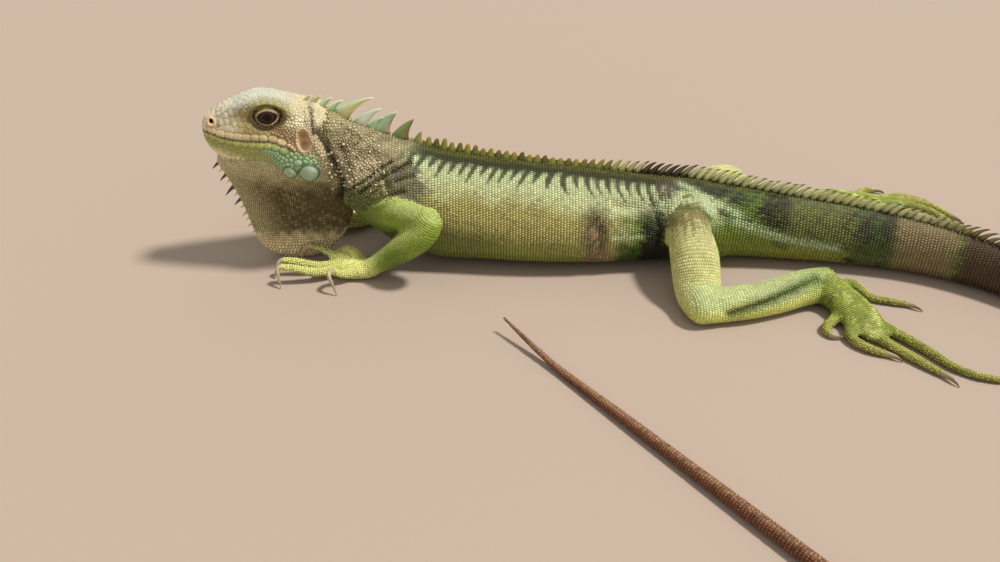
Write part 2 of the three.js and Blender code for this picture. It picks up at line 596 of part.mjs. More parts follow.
// A tube of elliptical sections through stations [x, y, z, half width, half height].
// A round start fills a bend.
function tube(stations, sides, flip, roundStart = false) {
  const points = stations.map((station) => vectorAt(station, flip));
  const curve = lineThrough(points);
  const ring = (n, slide, shrink) => {
    const [wide, tall] = stations[n].slice(3).map((half) => half * shrink);
    const along = curve.getTangent(n / (stations.length - 1));
    const side = new THREE.Vector3().crossVectors(UP, along).normalize();
    const rise = new THREE.Vector3().crossVectors(along, side).normalize();
    const middle = points[n].clone().addScaledVector(along, slide);
    return Array.from({ length: sides }, (_, k) => {
      const angle = 2 * Math.PI * (k + 0.5) / sides;
      const point = middle.clone().addScaledVector(side, wide * Math.cos(angle));
      return point.addScaledVector(rise, tall * Math.sin(angle));
    });
  };
  const rings = stations.map((_, n) => ring(n, 0, 1));
  if (roundStart) rings.unshift(ring(0, -0.72 * stations[0][3], 0.55));
  return solid(loft(rings));
}

// The flesh of one limb: its long parts, its foot and its digits, joined.
function limbSolid(limb, flip) {
  const pieces = [
    tube(limb.upper, LIMB_SIDES, flip),
    tube(limb.lower, LIMB_SIDES, flip, true),
    tube(limb.palm, LIMB_SIDES, flip, true),
    ...limb.digits.map((digit) => tube(digit.line, DIGIT_SIDES, flip)),
  ];
  return joinAll(pieces);
}

// A thin plate through a bend of a limb, halfway between the lines that meet there.
function limbCut(above, below, flip) {
  const here = vectorAt(below[0], flip);
  const into = here.clone().sub(vectorAt(above.at(-2), flip)).normalize();
  const onward = vectorAt(below[1], flip).sub(here).normalize();
  const span = 8 * Math.max(below[0][3], below[0][4]);
  return plate(here.toArray(), into.add(onward), span);
}

// One claw: it leaves the digit's end in line with it and hooks down to its point.
function clawSolid(digit, flip) {
  const points = digit.line.map((station) => vectorAt(station, flip));
  const end = points.at(-1);
  const ahead = lineThrough(points).getTangent(1);
  const tip = vectorAt(digit.claw, flip);
  const start = end.clone().addScaledVector(ahead, GAP);
  const reach = tip.distanceTo(start);
  const curve = new THREE.CubicBezierCurve3(
    start,
    start.clone().addScaledVector(ahead, reach * 0.42),
    tip.clone().lerp(start, 0.25).addScaledVector(UP, reach * 0.2),
    tip,
  );
  const rings = [0, 0.3, 0.62, 1].map((t) => {
    const middle = curve.getPoint(t);
    const along = t === 0 ? ahead : curve.getTangent(t);
    const side = new THREE.Vector3().crossVectors(UP, along).normalize();
    const rise = new THREE.Vector3().crossVectors(along, side).normalize();
    const radius = THREE.MathUtils.lerp(CLAW_ROOT, 0.32, t ** 1.4);
    return Array.from({ length: CLAW_SIDES }, (_, k) => {
      const angle = 2 * Math.PI * (k + 0.5) / CLAW_SIDES;
      return middle.clone().addScaledVector(side, radius * 0.85 * Math.cos(angle))
        .addScaledVector(rise, radius * Math.sin(angle));
    });
  });
  return solid(loft(rings)).subtract(belowFloor);
}

function shifted(limb, dx) {
  const move = (stations) => stations.map(([x, ...rest]) => [x + dx, ...rest]);
  return {
    upper: limb.upper.map((station, i) =>
      [station[0] + dx * i / (limb.upper.length - 1), ...station.slice(1)]),
    lower: move(limb.lower),
    palm: move(limb.palm),
    digits: limb.digits.map((digit) => ({
      name: digit.name,
      line: move(digit.line),
      claw: [digit.claw[0] + dx, digit.claw[1], digit.claw[2]],
    })),
  };
}

// ---------------------------------------------------------------- assembly

const model = new THREE.Group();

function add(name, piece, skin) {
  const material = new THREE.MeshStandardMaterial({ metalness: 0, ...SKINS[skin] });
  const mesh = new THREE.Mesh(geometryOf(piece), material);
  mesh.name = name;
  model.add(mesh);
}

const SIDES = { left: -1, right: 1 };
const eyes = {};
const plates = {};
for (const [side, sign] of Object.entries(SIDES)) {
  eyes[side] = (grow) => ellipsoid(EYE.radii, EYE.h, EYE.out * sign, EYE.z, grow);
  const { radii, h, out, z } = CHEEK_PLATE;
  plates[side] = (grow) => ellipsoid(radii, h, out * sign, z, grow);
}

const body = joinAll([
  trunkSolid(),
  tailSolid(),
  headSolid(),
  dewlapSolid(),
  ...gularSolids(),
  ...crestSolids(),
]).subtract(belowFloor);

const hollows = Object.keys(SIDES).flatMap((side) => [eyes[side](GAP), plates[side](GAP)]);
const bodyCuts = [
  ...hollows,
  sheet(MOUTH_LINE, -8, 30),
  sheet(THROAT_LINE, -8, 30),
  sheet(NAPE_LINE, -5, 30),
  sheet(SHOULDER_LINE, -2, 34),
  ...BACK_CUTS.map(backCut),
];
const inTail = (s) => [tailAt(s).x, tailAt(s).y, (tailAt(s).floor + tailAt(s).top) / 2];
const bodyLabels = {
  head: headPoint(20, 0, 92).toArray(),
  lower_jaw: headPoint(20, 0, 76).toArray(),
  neck: [-116, -3.5, 70],
  dewlap: [-150, -6.4, 40],
  chest: [-80, 1.5, 40],
  trunk: [0, 0, 30],
  hip: [80, -3, 30],
  tail_1: inTail(50),
  tail_2: inTail(140),
  tail_3: inTail(245),
  tail_4: inTail(355),
  tail_5: inTail(465),
  tail_6: inTail(585),
  tail_7: inTail(740),
};
const bodySkins = {
  head: "headGrey", lower_jaw: "jawGreen", neck: "neckTan", dewlap: "dewlapOlive", chest: "flankGreen",
  trunk: "flankGreen", hip: "flankGreen", tail_1: "tailGreen", tail_2: "tailGrey", tail_3: "tailGrey",
  tail_4: "tailRust", tail_5: "tailRust", tail_6: "tailRust", tail_7: "tailRust",
};
for (const [name, piece] of Object.entries(part(body, bodyCuts, bodyLabels))) add(name, piece, bodySkins[name]);

for (const side of Object.keys(SIDES)) {
  add(`${side}_eye`, eyes[side](0), "eye");
  add(`${side}_cheek_plate`, plates[side](0), "plate");
}

// Limbs stop a thin gap short of the body that carries them.
const bodyRoom = [trunkSolid(GAP), tailSolid(GAP), dewlapSolid(GAP + 0.1), belowFloor];
const LIMBS = [
  { side: "left", flip: 1, names: ["upper_arm", "forearm", "hand"], limb: FORELEG },
  { side: "right", flip: -1, names: ["upper_arm", "forearm", "hand"],
    limb: shifted(FORELEG, RIGHT_FORELEG_SHIFT) },
  { side: "left", flip: 1, names: ["thigh", "shank", "foot"], limb: HIND_LEFT },
  { side: "right", flip: 1, names: ["thigh", "shank", "foot"], limb: HIND_RIGHT },
];
const limbSkins = ["legGreen", "legGreen", "footLime"];
for (const { side, flip, names, limb } of LIMBS) {
  const flesh = cutAll(limbSolid(limb, flip), bodyRoom);
  const cuts = [limbCut(limb.upper, limb.lower, flip), limbCut(limb.lower, limb.palm, flip)];
  const middle = (stations) => vectorAt(stations[Math.floor(stations.length / 2)], flip).toArray();
  const labels = {
    [`${side}_${names[0]}`]: middle(limb.upper),
    [`${side}_${names[1]}`]: middle(limb.lower),
    [`${side}_${names[2]}`]: middle(limb.palm),
  };
  Object.entries(part(flesh, cuts, labels)).forEach(([name, piece], i) => add(name, piece, limbSkins[i]));
  for (const digit of limb.digits) {
    add(`${side}_${names[2]}_claw_${digit.name}`, clawSolid(digit, flip), "claw");
  }
}

export default model;
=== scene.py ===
"""A green iguana at rest, dressed over its solids.

One skin is grown from the same measures as the solids, and rows of solid scales, the crest, claws, eyes and
cheek plates are set on it. Measures are in millimetres until a mesh is made.
"""

import math

import bmesh
import bpy
import numpy as np
from mathutils import Euler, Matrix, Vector
from mathutils.bvhtree import BVHTree
from mathutils.kdtree import KDTree


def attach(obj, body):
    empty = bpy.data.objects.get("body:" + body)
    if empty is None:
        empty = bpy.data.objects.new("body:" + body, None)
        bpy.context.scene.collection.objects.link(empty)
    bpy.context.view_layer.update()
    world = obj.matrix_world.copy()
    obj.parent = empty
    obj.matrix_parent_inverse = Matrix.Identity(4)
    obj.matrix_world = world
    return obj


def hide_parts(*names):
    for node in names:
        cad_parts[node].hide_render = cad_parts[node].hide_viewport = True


bl_info = {
    "name": "Green iguana",
    "version": (1, 0, 0),
    "blender": (4, 5, 0),
    "location": "View3D > Sidebar > Iguana",
    "description": "Skin, scales, crest, claws, eyes and cheek plates of a resting green iguana",
    "category": "Add Mesh",
}

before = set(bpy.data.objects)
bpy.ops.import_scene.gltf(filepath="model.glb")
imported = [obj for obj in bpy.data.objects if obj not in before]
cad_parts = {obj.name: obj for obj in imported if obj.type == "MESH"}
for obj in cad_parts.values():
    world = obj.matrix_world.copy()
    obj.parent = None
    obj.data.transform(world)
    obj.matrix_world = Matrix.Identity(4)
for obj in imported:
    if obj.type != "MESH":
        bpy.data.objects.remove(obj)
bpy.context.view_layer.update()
MM = 0.001
SEED = 11
rng = np.random.default_rng(SEED)
UP = np.array([0.0, 0.0, 1.0])
made = {}

# ---------------------------------------------------------------- measures

# Trunk and neck: x, middle y, top, belly, half width, level of the greatest width.
BODY = np.array([
    [-139, -6.2, 99.6, 59.0, 16.2, 80], [-126, -5.0, 94, 43.0, 18.5, 71], [-116, -3.5, 87.0, 30.0, 20.5, 60],
    [-106, -1.5, 82.0, 19.0, 23.5, 50], [-94, 0.0, 76.5, 11.0, 26.5, 41], [-80, 1.5, 71.8, 4.0, 29.0, 34],
    [-64, 2.0, 66.8, 0.0, 31.0, 29], [-45, 2.0, 63.4, 0.0, 32.5, 26], [-20, 1.0, 60.4, 0.0, 34.0, 24],
    [5, 0.0, 57.8, 0.0, 34.0, 23], [30, -1.0, 55.4, 0.0, 31.5, 23], [52, -2.0, 53.2, 0.0, 28.0, 23],
    [70, -3.0, 51.8, 0.0, 25.0, 24], [86, -3.5, 50.0, 0.0, 22.5, 24], [104, -4.4, 46.4, 0.0, 19.6, 22.5],
], float)
ROOF_POWER = 1.75
BELLY_POWER = 2.5
TAIL_POWER = 1.95
HIP_X = 100.0

# Tail: bends of its path as length and turn, then distance, half width and height.
TAIL_START = (100.0, -4.0, -5.5)
TAIL_BENDS = [(80, -6), (35, -8), (50, -22), (80, -20), (375, -171), (204, 0)]
TAIL = np.array([
    [0, 20.2, 47.6], [23, 17.8, 44.4], [45, 16.0, 41.4], [76, 14.3, 38.2], [104, 13.0, 34.8],
    [130, 12.0, 31.8], [160, 11.0, 28.6], [260, 8.6, 20.8], [360, 6.8, 15.6], [460, 5.4, 11.8],
    [560, 4.3, 9.0], [660, 3.5, 7.2], [730, 2.9, 6.0], [780, 2.3, 4.7], [812, 1.6, 3.3], [824, 0.8, 1.6],
], float)
TAIL_LENGTH = 824
TAIL_TIP_RISE = 8.0
TAIL_RISE_LENGTH = 52.0

# Head: distance behind the snout tip, top, half width and height at brow, eye, lip and jaw, and bottom.
SNOUT = np.array([-198.3, -10.5])
HEAD_YAW = math.radians(5)
HEAD = np.array([
    [0.4, 88.5, 1.6, 87.8, 2.6, 86.6, 3.2, 84.6, 2.4, 80.5, 79],
    [2.4, 92.6, 4.2, 91, 6.2, 88.8, 6.6, 85, 5.4, 77.6, 74.2],
    [6, 95.8, 5.8, 94.2, 8.2, 90.6, 8.8, 85, 7.6, 75.2, 69.6],
    [12, 99, 6.6, 97.3, 9.4, 92, 10.6, 84.6, 9.6, 74.4, 68],
    [20, 102.2, 8.2, 99.8, 10.6, 93.2, 12.8, 83.6, 12, 74, 67],
    [27, 104.9, 10.6, 101.2, 12, 94.2, 14.6, 83, 14, 73, 66],
    [33, 105.8, 12.8, 101.4, 13, 95, 16, 82.6, 15.8, 71.8, 64.6],
    [40, 105.2, 14, 100.8, 13.6, 95, 17.2, 82.2, 17.4, 69.8, 62],
    [47, 103.2, 14, 99.4, 15.2, 94.2, 18.4, 81.6, 19.4, 65, 56.6],
    [54, 101, 12.8, 97.8, 16.2, 92.8, 19.4, 80.4, 20.4, 62.8, 53.6],
    [61, 99.6, 12, 96.4, 16.4, 91.6, 19.4, 79, 20.2, 61.8, 52.4],
    [68, 97.8, 11.4, 94.4, 15.4, 89.8, 18, 77.4, 18, 61.6, 52.4],
], float)
EYE = {"h": 39.0, "z": 94.6, "out": 8.3, "ball": 6.1, "long": 5.8, "high": 4.15, "tilt": math.radians(6)}
NOSTRIL = {"h": 7.8, "z": 91.6}
EARDRUM = {"h": 58.2, "z": 83.0, "long": 3.7, "high": 5.8}
MOUTH = np.array([[0.6, 85.9], [6.5, 84.9], [12, 83.0], [19, 82.0], [28.5, 81.8], [39.6, 82.0], [46, 80.0],
                  [53, 76.4]])
# Cheek plates: h, z, half length, half height, thickness.
CHEEK_PLATES = [(59.0, 64.0, 5.7, 5.6, 2.3), (48.4, 64.3, 4.1, 4.1, 1.9), (53.8, 71.0, 2.8, 1.9, 0.9)]
# Lower edge of the pale crown: distance behind the snout and height.
ROOF = np.array([[0, 6, 12, 20, 27, 33, 40, 47, 54, 61, 68],
                 [86, 91.5, 92.5, 94.5, 98, 101, 101, 99, 96, 94, 92]], float)

# Dewlap: height, front edge, rear edge, half thickness.
DEWLAP = np.array([
    [-1, -161.5, -141, 4.2], [6, -173.5, -131.5, 7.4], [17, -179, -123, 7.4], [30, -182, -118, 6.2],
    [44, -185.4, -117, 8.6], [56, -189.6, -117, 12.4], [66, -193.2, -117.5, 14.6], [74, -189, -118, 12],
], float)
DEWLAP_LINE = (-165.0, -7.6, 0.08)  # x and y of a place in its middle plane, and how y grows with x
# Spines on the dewlap's front edge: height and length.
GULAR_SPINES = [
    (64, 6.0), (60, 3.4), (56.5, 6.5), (52.5, 3.2), (48.5, 8.5), (44, 3.2), (40, 6.0), (35.5, 3.0), (31, 4.5),
    (27, 2.6), (23, 3.5), (18, 2.4),
]

# Crest: nape blades as x, length, root length, lean; then the comb's distance, length and lean.
NAPE_BLADES = [
    (-140, 5, 3.8, 56), (-136, 6.6, 4.6, 58), (-131.5, 8.2, 5.2, 60), (-127, 9.5, 6, 62),
    (-121.5, 22, 10.2, 65), (-111.5, 16, 9.2, 58), (-105.5, 9.8, 6, 55), (-101, 16, 13.4, 47),
    (-89.4, 13.8, 11, 41), (-78.8, 6.5, 6.2, 22),
]
COMB = np.array([
    [-73, 5.6, 14], [-54, 7.5, 12], [-45, 5.8, 14], [10, 5.6, 22], [40, 8.6, 46], [100, 10.0, 52],
    [190, 9.6, 54], [250, 8.4, 56], [330, 6.2, 58], [430, 3.4, 60], [520, 1.6, 62],
], float)
COMB_FROM, COMB_TO = -73.0, 500.0

# Limbs: stations are x, y, z, half width and half height, and a digit ends in the tip of its claw. One table,
# given for the left, serves both forelegs.
FORELEG = {
    "upper": [[-104, -13, 34, 9, 11], [-94, -22, 36.5, 8.6, 9.6], [-82, -32, 39.5, 8, 8.4],
             [-71, -39.5, 41.5, 8, 7.8]],
    "lower": [[-70, -40, 41, 8, 7.6], [-74, -40.5, 34, 9, 8.8], [-84, -39, 25, 9, 8.8], [-96, -36, 15, 7, 7],
             [-106, -33.5, 7.4, 7, 5.4]],
    "palm": [[-106, -33.5, 6.2, 7, 5.4], [-114, -31.5, 4.6, 8.6, 5.4], [-123, -29.5, 4.1, 9.4, 4.8],
            [-129, -28.5, 3, 7, 3.6]],
    "digits": [
        ([[-113, -25, 6.1, 3.4, 3.2], [-119, -21, 11, 3.2, 3], [-125, -18, 9.5, 2.8, 2.6],
          [-129, -16.5, 5.2, 2.3, 2.2]], [-133, -15.8, 0.3]),
        ([[-121, -24, 5.2, 3.4, 3.2], [-131, -21.5, 8.6, 2.9, 2.8], [-138, -19.2, 11, 2.6, 2.5],
          [-144, -17.4, 11.6, 2.3, 2.2]], [-152, -16.4, 0.3]),
        ([[-125, -27, 5, 3.4, 3.2], [-139, -29.5, 5.6, 3.1, 3], [-150, -30.4, 8.8, 2.9, 2.8],
          [-158, -30.8, 10.2, 2.6, 2.5]], [-163.5, -35.4, 0.3]),
        ([[-125, -32, 5, 3.6, 3.2], [-138, -37.5, 6, 3.2, 3], [-149, -39.4, 9.6, 3, 2.8],
          [-158, -40, 11.2, 2.7, 2.6]], [-158, -46.2, 0.3]),
        ([[-116, -34.5, 4.6, 3.4, 3.2], [-122, -40, 6, 2.9, 2.8], [-127, -43.5, 10.6, 2.5, 2.4],
          [-128.5, -46, 11.4, 2.2, 2.1]], [-124.5, -53.5, 0.3]),
    ],
}
HIND_LEFT = {
    "upper": [[85, -8, 29, 14.5, 14], [78.5, -28, 28, 12.5, 14], [78.5, -48, 22.5, 14, 12.5],
             [79, -66, 9.5, 13, 10.5], [80, -78, 8.5, 11, 9.4]],
    "lower": [[78, -77, 8.6, 11, 9.6], [104, -73, 9.2, 10.4, 10], [122, -67.5, 9.6, 10.2, 10.4],
             [138, -61.5, 10.8, 10, 11], [151, -58, 10.8, 9.4, 10.8]],
    "palm": [[149, -58, 10.4, 9, 10.4], [158, -66, 7, 10.4, 7.8], [165, -83, 4.8, 11.8, 5.6],
            [169, -94, 3.2, 8.4, 3.8]],
    "digits": [
        ([[157, -73, 3.4, 3.6, 3.4], [149.5, -82, 2.8, 3.4, 3.2], [144, -88.5, 2.6, 3.1, 3],
          [144.5, -93.6, 2.2, 2.6, 2.5]], [153, -95.4, 0.3]),
        ([[158, -86, 3.4, 3.8, 3.4], [155, -98, 2.8, 3.4, 3.2], [161, -106, 2.6, 3, 2.9],
          [169, -110.4, 2.1, 2.5, 2.4]], [176, -114.8, 0.3]),
        ([[164, -88, 3.8, 3.8, 3.6], [173, -103, 2.8, 3.4, 3.2], [182, -115, 2.6, 3, 2.9],
          [191, -126, 2.1, 2.5, 2.4]], [196.5, -135, 0.3]),
        ([[170, -83, 4, 3.8, 3.6], [181, -95, 3.2, 3.5, 3.3], [191, -108, 2.6, 3.1, 3],
          [199, -121, 2.4, 2.8, 2.7], [209, -128.5, 2.2, 2.6, 2.5], [219, -131.5, 2, 2.4, 2.3]],
          [229, -133, 0.3]),
        ([[160, -54, 8.4, 4, 3.8], [169.5, -53, 7.4, 3.6, 3.4], [178, -58, 2.6, 3.1, 3],
          [188, -62, 2.3, 2.7, 2.6], [196.5, -64.5, 2, 2.4, 2.3]], [204, -69.5, 0.3]),
    ],
}
HIND_RIGHT = {
    "upper": [[86, 2, 29, 15, 14], [94, 16, 28.5, 13.5, 13.5], [104, 34, 26, 12.5, 12.5],
             [115, 50.5, 20.6, 11.4, 11.4], [121.5, 59, 17, 10.4, 10.7]],
    "lower": [[120.5, 58, 16, 10.6, 10.8], [139, 51.5, 9.2, 9.6, 9], [159, 48, 7.6, 9, 7.8],
             [176, 49.5, 7.2, 8.4, 7.5], [189, 51, 7.2, 7.8, 7.4]],
    "palm": [[188, 51.8, 7, 7.6, 7.4], [199, 50.5, 5.8, 10, 6.6], [215, 50, 4.7, 11.8, 5.4],
            [228, 50, 3.2, 8.4, 3.8]],
    "digits": [
        ([[208, 57, 3.4, 3.6, 3.4], [213, 67, 2.8, 3.4, 3.2], [219, 72.5, 2.6, 3.1, 3],
          [225, 74, 2.2, 2.6, 2.5]], [233.5, 72, 0.3]),
        ([[222, 57, 3.4, 3.8, 3.4], [234, 62.5, 2.8, 3.4, 3.2], [244, 63, 2.6, 3, 2.9],
          [252, 60, 2.1, 2.5, 2.4]], [259.5, 54.6, 0.3]),
        ([[223, 51.5, 5.2, 3.8, 3.6], [240, 53, 5.2, 3.4, 3.2], [254, 47.5, 4.2, 3, 2.9],
          [264, 37, 2.1, 2.5, 2.4]], [269, 27.6, 0.3]),
        ([[222, 45.5, 5.4, 3.8, 3.6], [238, 45, 5.4, 3.5, 3.3], [251, 38, 4.8, 3.1, 3],
          [260, 27, 2.4, 2.8, 2.7], [267, 17, 2.2, 2.6, 2.5], [272, 8, 2, 2.4, 2.3]], [276.5, -1.5, 0.3]),
        ([[197, 44, 8.2, 4, 3.8], [204, 36, 7, 3.6, 3.4], [213, 31, 2.6, 3.1, 3], [223, 29, 2.3, 2.7, 2.6],
          [231, 28.5, 2, 2.4, 2.3]], [240, 27, 0.3]),
    ],
}
RIGHT_FORELEG_SHIFT = -5.0
CLAW_ROOT = 1.9

# ---------------------------------------------------------------- small maths


def unit(vectors):
    """Vectors scaled to length one."""
    return vectors / np.maximum(np.linalg.norm(vectors, axis=-1, keepdims=True), 1e-9)


def step(value, low, high):
    """0 below low, 1 above high, and smooth between."""
    t = np.clip((np.asarray(value, float) - low) / (high - low), 0, 1)
    return t * t * (3 - 2 * t)


def fade(value, low, high):
    """1 below low, 0 above high, and smooth between."""
    return 1 - step(value, low, high)


def within(value, low, high, soft):
    """1 between low and high, fading over soft on both sides."""
    return step(value, low - soft, low) * fade(value, high, high + soft)


def bell(value, middle, width):
    """1 at the middle, falling away over width."""
    return np.exp(-(((np.asarray(value, float) - middle) / width) ** 2))


def swell(first, second, middle, size):
    """1 at the middle of an oval in a plane, falling away over its half sizes."""
    return bell(np.hypot((first - middle[0]) / size[0], (second - middle[1]) / size[1]), 0, 1.0)


def power(value, exponent):
    return np.sign(value) * np.abs(value) ** exponent


def turns(count):
    """Angles evenly round a circle."""
    return 2 * math.pi * np.arange(count) / count


def curve(t, start, leaving, end, arriving):
    """A smooth way from start to end with given slopes, at shares t."""
    t2, t3 = t * t, t * t * t
    return ((2 * t3 - 3 * t2 + 1) * start + (t3 - 2 * t2 + t) * leaving
            + (3 * t2 - 2 * t3) * end + (t3 - t2) * arriving)


def walk(at, run, line):
    """Rows at distances along a line whose points lie at the distances run."""
    return np.stack([np.interp(at, run, column) for column in line.T], -1)


def along(table, at):
    """Smooth rows of a table of stations, keyed by its first column."""
    keys = table[:, 0]
    at = np.atleast_1d(np.asarray(at, float))
    i = np.clip(np.searchsorted(keys, at) - 1, 0, len(keys) - 2)
    low, high = np.maximum(i - 1, 0), np.minimum(i + 2, len(keys) - 1)
    width = (keys[i + 1] - keys[i])[:, None]
    t = np.clip((at - keys[i])[:, None] / width, 0, 1)
    slope_in = (table[i + 1] - table[low]) / (keys[i + 1] - keys[low])[:, None] * width
    slope_out = (table[high] - table[i]) / (keys[high] - keys[i])[:, None] * width
    return curve(t, table[i], slope_in, table[i + 1], slope_out)


def line_through(points, count, closed=False):
    """Places on a centripetal line through points; columns after the third follow along."""
    points = np.asarray(points, float)
    size = points.shape[-2]
    spans = size if closed else size - 1
    place = np.arange(count) * spans / count if closed else np.linspace(0, spans, count)
    i = np.minimum(place.astype(int), spans - 1)
    t = (place - i)[:, None]
    if closed:
        picked = [points[..., (i + k) % size, :] for k in (-1, 0, 1, 2)]
    else:
        first = 2 * points[..., :1, :] - points[..., 1:2, :]
        last = 2 * points[..., -1:, :] - points[..., -2:-1, :]
        padded = np.concatenate([first, points, last], axis=-2)
        picked = [padded[..., i + k + 1, :] for k in (-1, 0, 1, 2)]
    p0, p1, p2, p3 = picked
    d0, d1, d2 = (np.maximum(np.linalg.norm((b - a)[..., :3], axis=-1, keepdims=True), 1e-4) ** 0.5
                  for a, b in ((p0, p1), (p1, p2), (p2, p3)))
    m1 = ((p1 - p0) / d0 - (p2 - p0) / (d0 + d1) + (p2 - p1) / d1) * d1
    m2 = ((p2 - p1) / d1 - (p3 - p1) / (d1 + d2) + (p3 - p2) / d2) * d1
    return curve(t, p1, m1, p2, m2)


def noise(points, scale, seed=0):
    """Smooth noise from -1 to 1 made of a few crossed waves."""
    turn = np.random.default_rng(SEED + seed)
    total = np.zeros(len(points))
    for _ in range(5):
        direction = unit(turn.normal(size=3))
        total += np.sin(points @ direction * (2 * math.pi / scale) * turn.uniform(0.6, 1.5)
                        + turn.uniform(0, 6.28))
    return total / 3.2


# ---------------------------------------------------------------- sections of the animal


def section(count, half, top, level, bottom, roof, belly):
    """Across and height round sections: from the ridge down the right side and up the left."""
    turn = turns(count)
    c, s = np.cos(turn), np.sin(turn)
    exponent = np.where(c >= 0, 2 / roof, 2 / belly)
    reach = np.where(c >= 0, (top - level)[:, None], (level - bottom)[:, None])
    return half[:, None] * power(s, exponent), level[:, None] + reach * power(c, exponent)


def body_rings(x, count):
    x = np.asarray(x, float)
    table = along(BODY, x)
    _, _, top, bottom, half, level = table.T
    across, height = section(count, half, top, level, bottom, ROOF_POWER, BELLY_POWER)
    return np.stack([np.broadcast_to(x[:, None], across.shape), table[:, 1:2] + across, height], -1)


def tail_path():
    """Points one millimetre apart on the floor, with their heading."""
    path = [TAIL_START]
    for length, turn in TAIL_BENDS:
        for _ in range(length):
            x, y, heading = path[-1]
            onward = heading + turn / length
            middle = math.radians((heading + onward) / 2)
            path.append((x + math.cos(middle), y + math.sin(middle), onward))
    return np.array(path)


PATH = tail_path()


def tail_frame(s):
    """Middle on the floor, direction and side of the tail at distances s."""
    s = np.clip(np.asarray(s, float), 0, TAIL_LENGTH)
    x, y, heading = (np.interp(s, np.arange(len(PATH)), PATH[:, k]) for k in range(3))
    heading = np.radians(heading)
    zero = np.zeros_like(x)
    return (np.stack([x, y, zero], -1), np.stack([np.cos(heading), np.sin(heading), zero], -1),
            np.stack([-np.sin(heading), np.cos(heading), zero], -1))


def tail_rings(s, count, least=0.0):
    s = np.asarray(s, float)
    table = np.maximum(along(TAIL, s), [0, least, 2 * least])
    middle, _, side = tail_frame(s)
    floor = TAIL_TIP_RISE * (np.maximum(0, s - (TAIL_LENGTH - TAIL_RISE_LENGTH)) / TAIL_RISE_LENGTH) ** 1.6
    top = floor + table[:, 2]
    level = floor + table[:, 2] * 0.47
    across, height = section(count, table[:, 1], top, level, floor, TAIL_POWER, TAIL_POWER)
    return middle[:, None] + side[:, None] * across[..., None] + UP * height[..., None]


HEAD_AHEAD = np.array([math.cos(HEAD_YAW), math.sin(HEAD_YAW), 0])
HEAD_SIDE = np.array([-math.sin(HEAD_YAW), math.cos(HEAD_YAW), 0])


def head_point(h, across, z):
    """A place from its distance behind the snout tip, its sideways offset and its height."""
    h, across, z = (np.asarray(v, float)[..., None] for v in (h, across, z))
    return np.append(SNOUT, 0.0) + HEAD_AHEAD * h + HEAD_SIDE * across + UP * z


def head_place(points):
    """Distance behind the snout tip, sideways offset and height of places."""
    rest = points[:, :2] - SNOUT
    return rest @ HEAD_AHEAD[:2], rest @ HEAD_SIDE[:2], points[:, 2]


def head_rings(h, count):
    h = np.asarray(h, float)
    t = along(HEAD, h)
    top, bottom, zero = t[:, 1], t[:, 10], np.zeros(len(h))
    half = [(zero, top), (t[:, 2] * 0.62, top - (top - t[:, 3]) * 0.2), (t[:, 2], t[:, 3]),
            (t[:, 4], t[:, 5]), (t[:, 6], t[:, 7]), (t[:, 8], t[:, 9]),
            (t[:, 8] * 0.55, bottom + 1.2), (zero, bottom)]
    loop = half + [(-a, z) for a, z in half[-2:0:-1]]
    points = np.stack([np.stack([a, z, zero], -1) for a, z in loop], 1)
    ring = line_through(points, count, closed=True)
    return head_point(h[:, None], ring[..., 0], ring[..., 1])


def dewlap_middle(x):
    """Where the middle plane of the dewlap lies across the animal."""
    return DEWLAP_LINE[1] + (x - DEWLAP_LINE[0]) * DEWLAP_LINE[2]


def dewlap_rings(z, count):
    z = np.asarray(z, float)
    t = along(DEWLAP, z)
    turn = turns(count)
    x = ((t[:, 1] + t[:, 2]) / 2)[:, None] + ((t[:, 2] - t[:, 1]) / 2)[:, None] * power(np.cos(turn), 0.8)
    y = dewlap_middle(x) + t[:, 3:4] * power(np.sin(turn), 0.9)
    return np.stack([x, y, np.broadcast_to(z[:, None], x.shape)], -1)


HEADING_REACH = 0.6  # how far before and after a place its heading is taken
ROUND_END = 0.75  # length of a rounded end against its half width
TUBE_POINTS = 60


class Tube:
    """A limb's length through stations, with rounded ends."""

    def __init__(self, stations, flip=1, shift=0.0, fade_shift=False):
        stations = np.array(stations, float)
        share = np.linspace(0, 1, len(stations)) if fade_shift else np.ones(len(stations))
        stations[:, 0] += shift * share
        stations[:, 1] *= flip
        line = line_through(stations, TUBE_POINTS)
        gaps = np.linalg.norm(np.diff(line[:, :3], axis=0), axis=1)
        self.line = line
        self.run = np.concatenate([[0], np.cumsum(gaps)])
        self.length = self.run[-1]
        self.cap = (stations[0, 3], stations[-1, 3])

    def frame(self, s):
        """Middle, direction, side and rise at distances s, which may pass both ends."""
        inside = np.clip(s, 0, self.length)
        row = walk(inside, self.run, self.line)
        after, before = (walk(np.clip(inside + d, 0, self.length), self.run, self.line[:, :3])
                         for d in (HEADING_REACH, -HEADING_REACH))
        ahead = unit(after - before)
        side = unit(np.cross(UP, ahead))
        rise = unit(np.cross(ahead, side))
        middle = row[:, :3] + ahead * (s - inside)[:, None]
        start, end = (ROUND_END * cap for cap in self.cap)
        over = np.where(s < 0, -s / start, np.where(s > self.length, (s - self.length) / end, 0))
        shrink = np.sqrt(np.clip(1 - over ** 2, 0.0, 1))
        return middle, ahead, side, rise, row[:, 3] * shrink, row[:, 4] * shrink

    def rings(self, s, count):
        middle, _, side, rise, wide, tall = self.frame(np.asarray(s, float))
        turn = turns(count)
        return (middle[:, None] + side[:, None] * (wide[:, None] * np.sin(turn))[..., None]
                + rise[:, None] * (tall[:, None] * np.cos(turn))[..., None])

    def span(self, spacing):
        """Distances from one rounded end to the other."""
        start, end = -0.72 * self.cap[0], self.length + 0.72 * self.cap[1]
        return np.linspace(start, end, max(4, int((end - start) / spacing)))


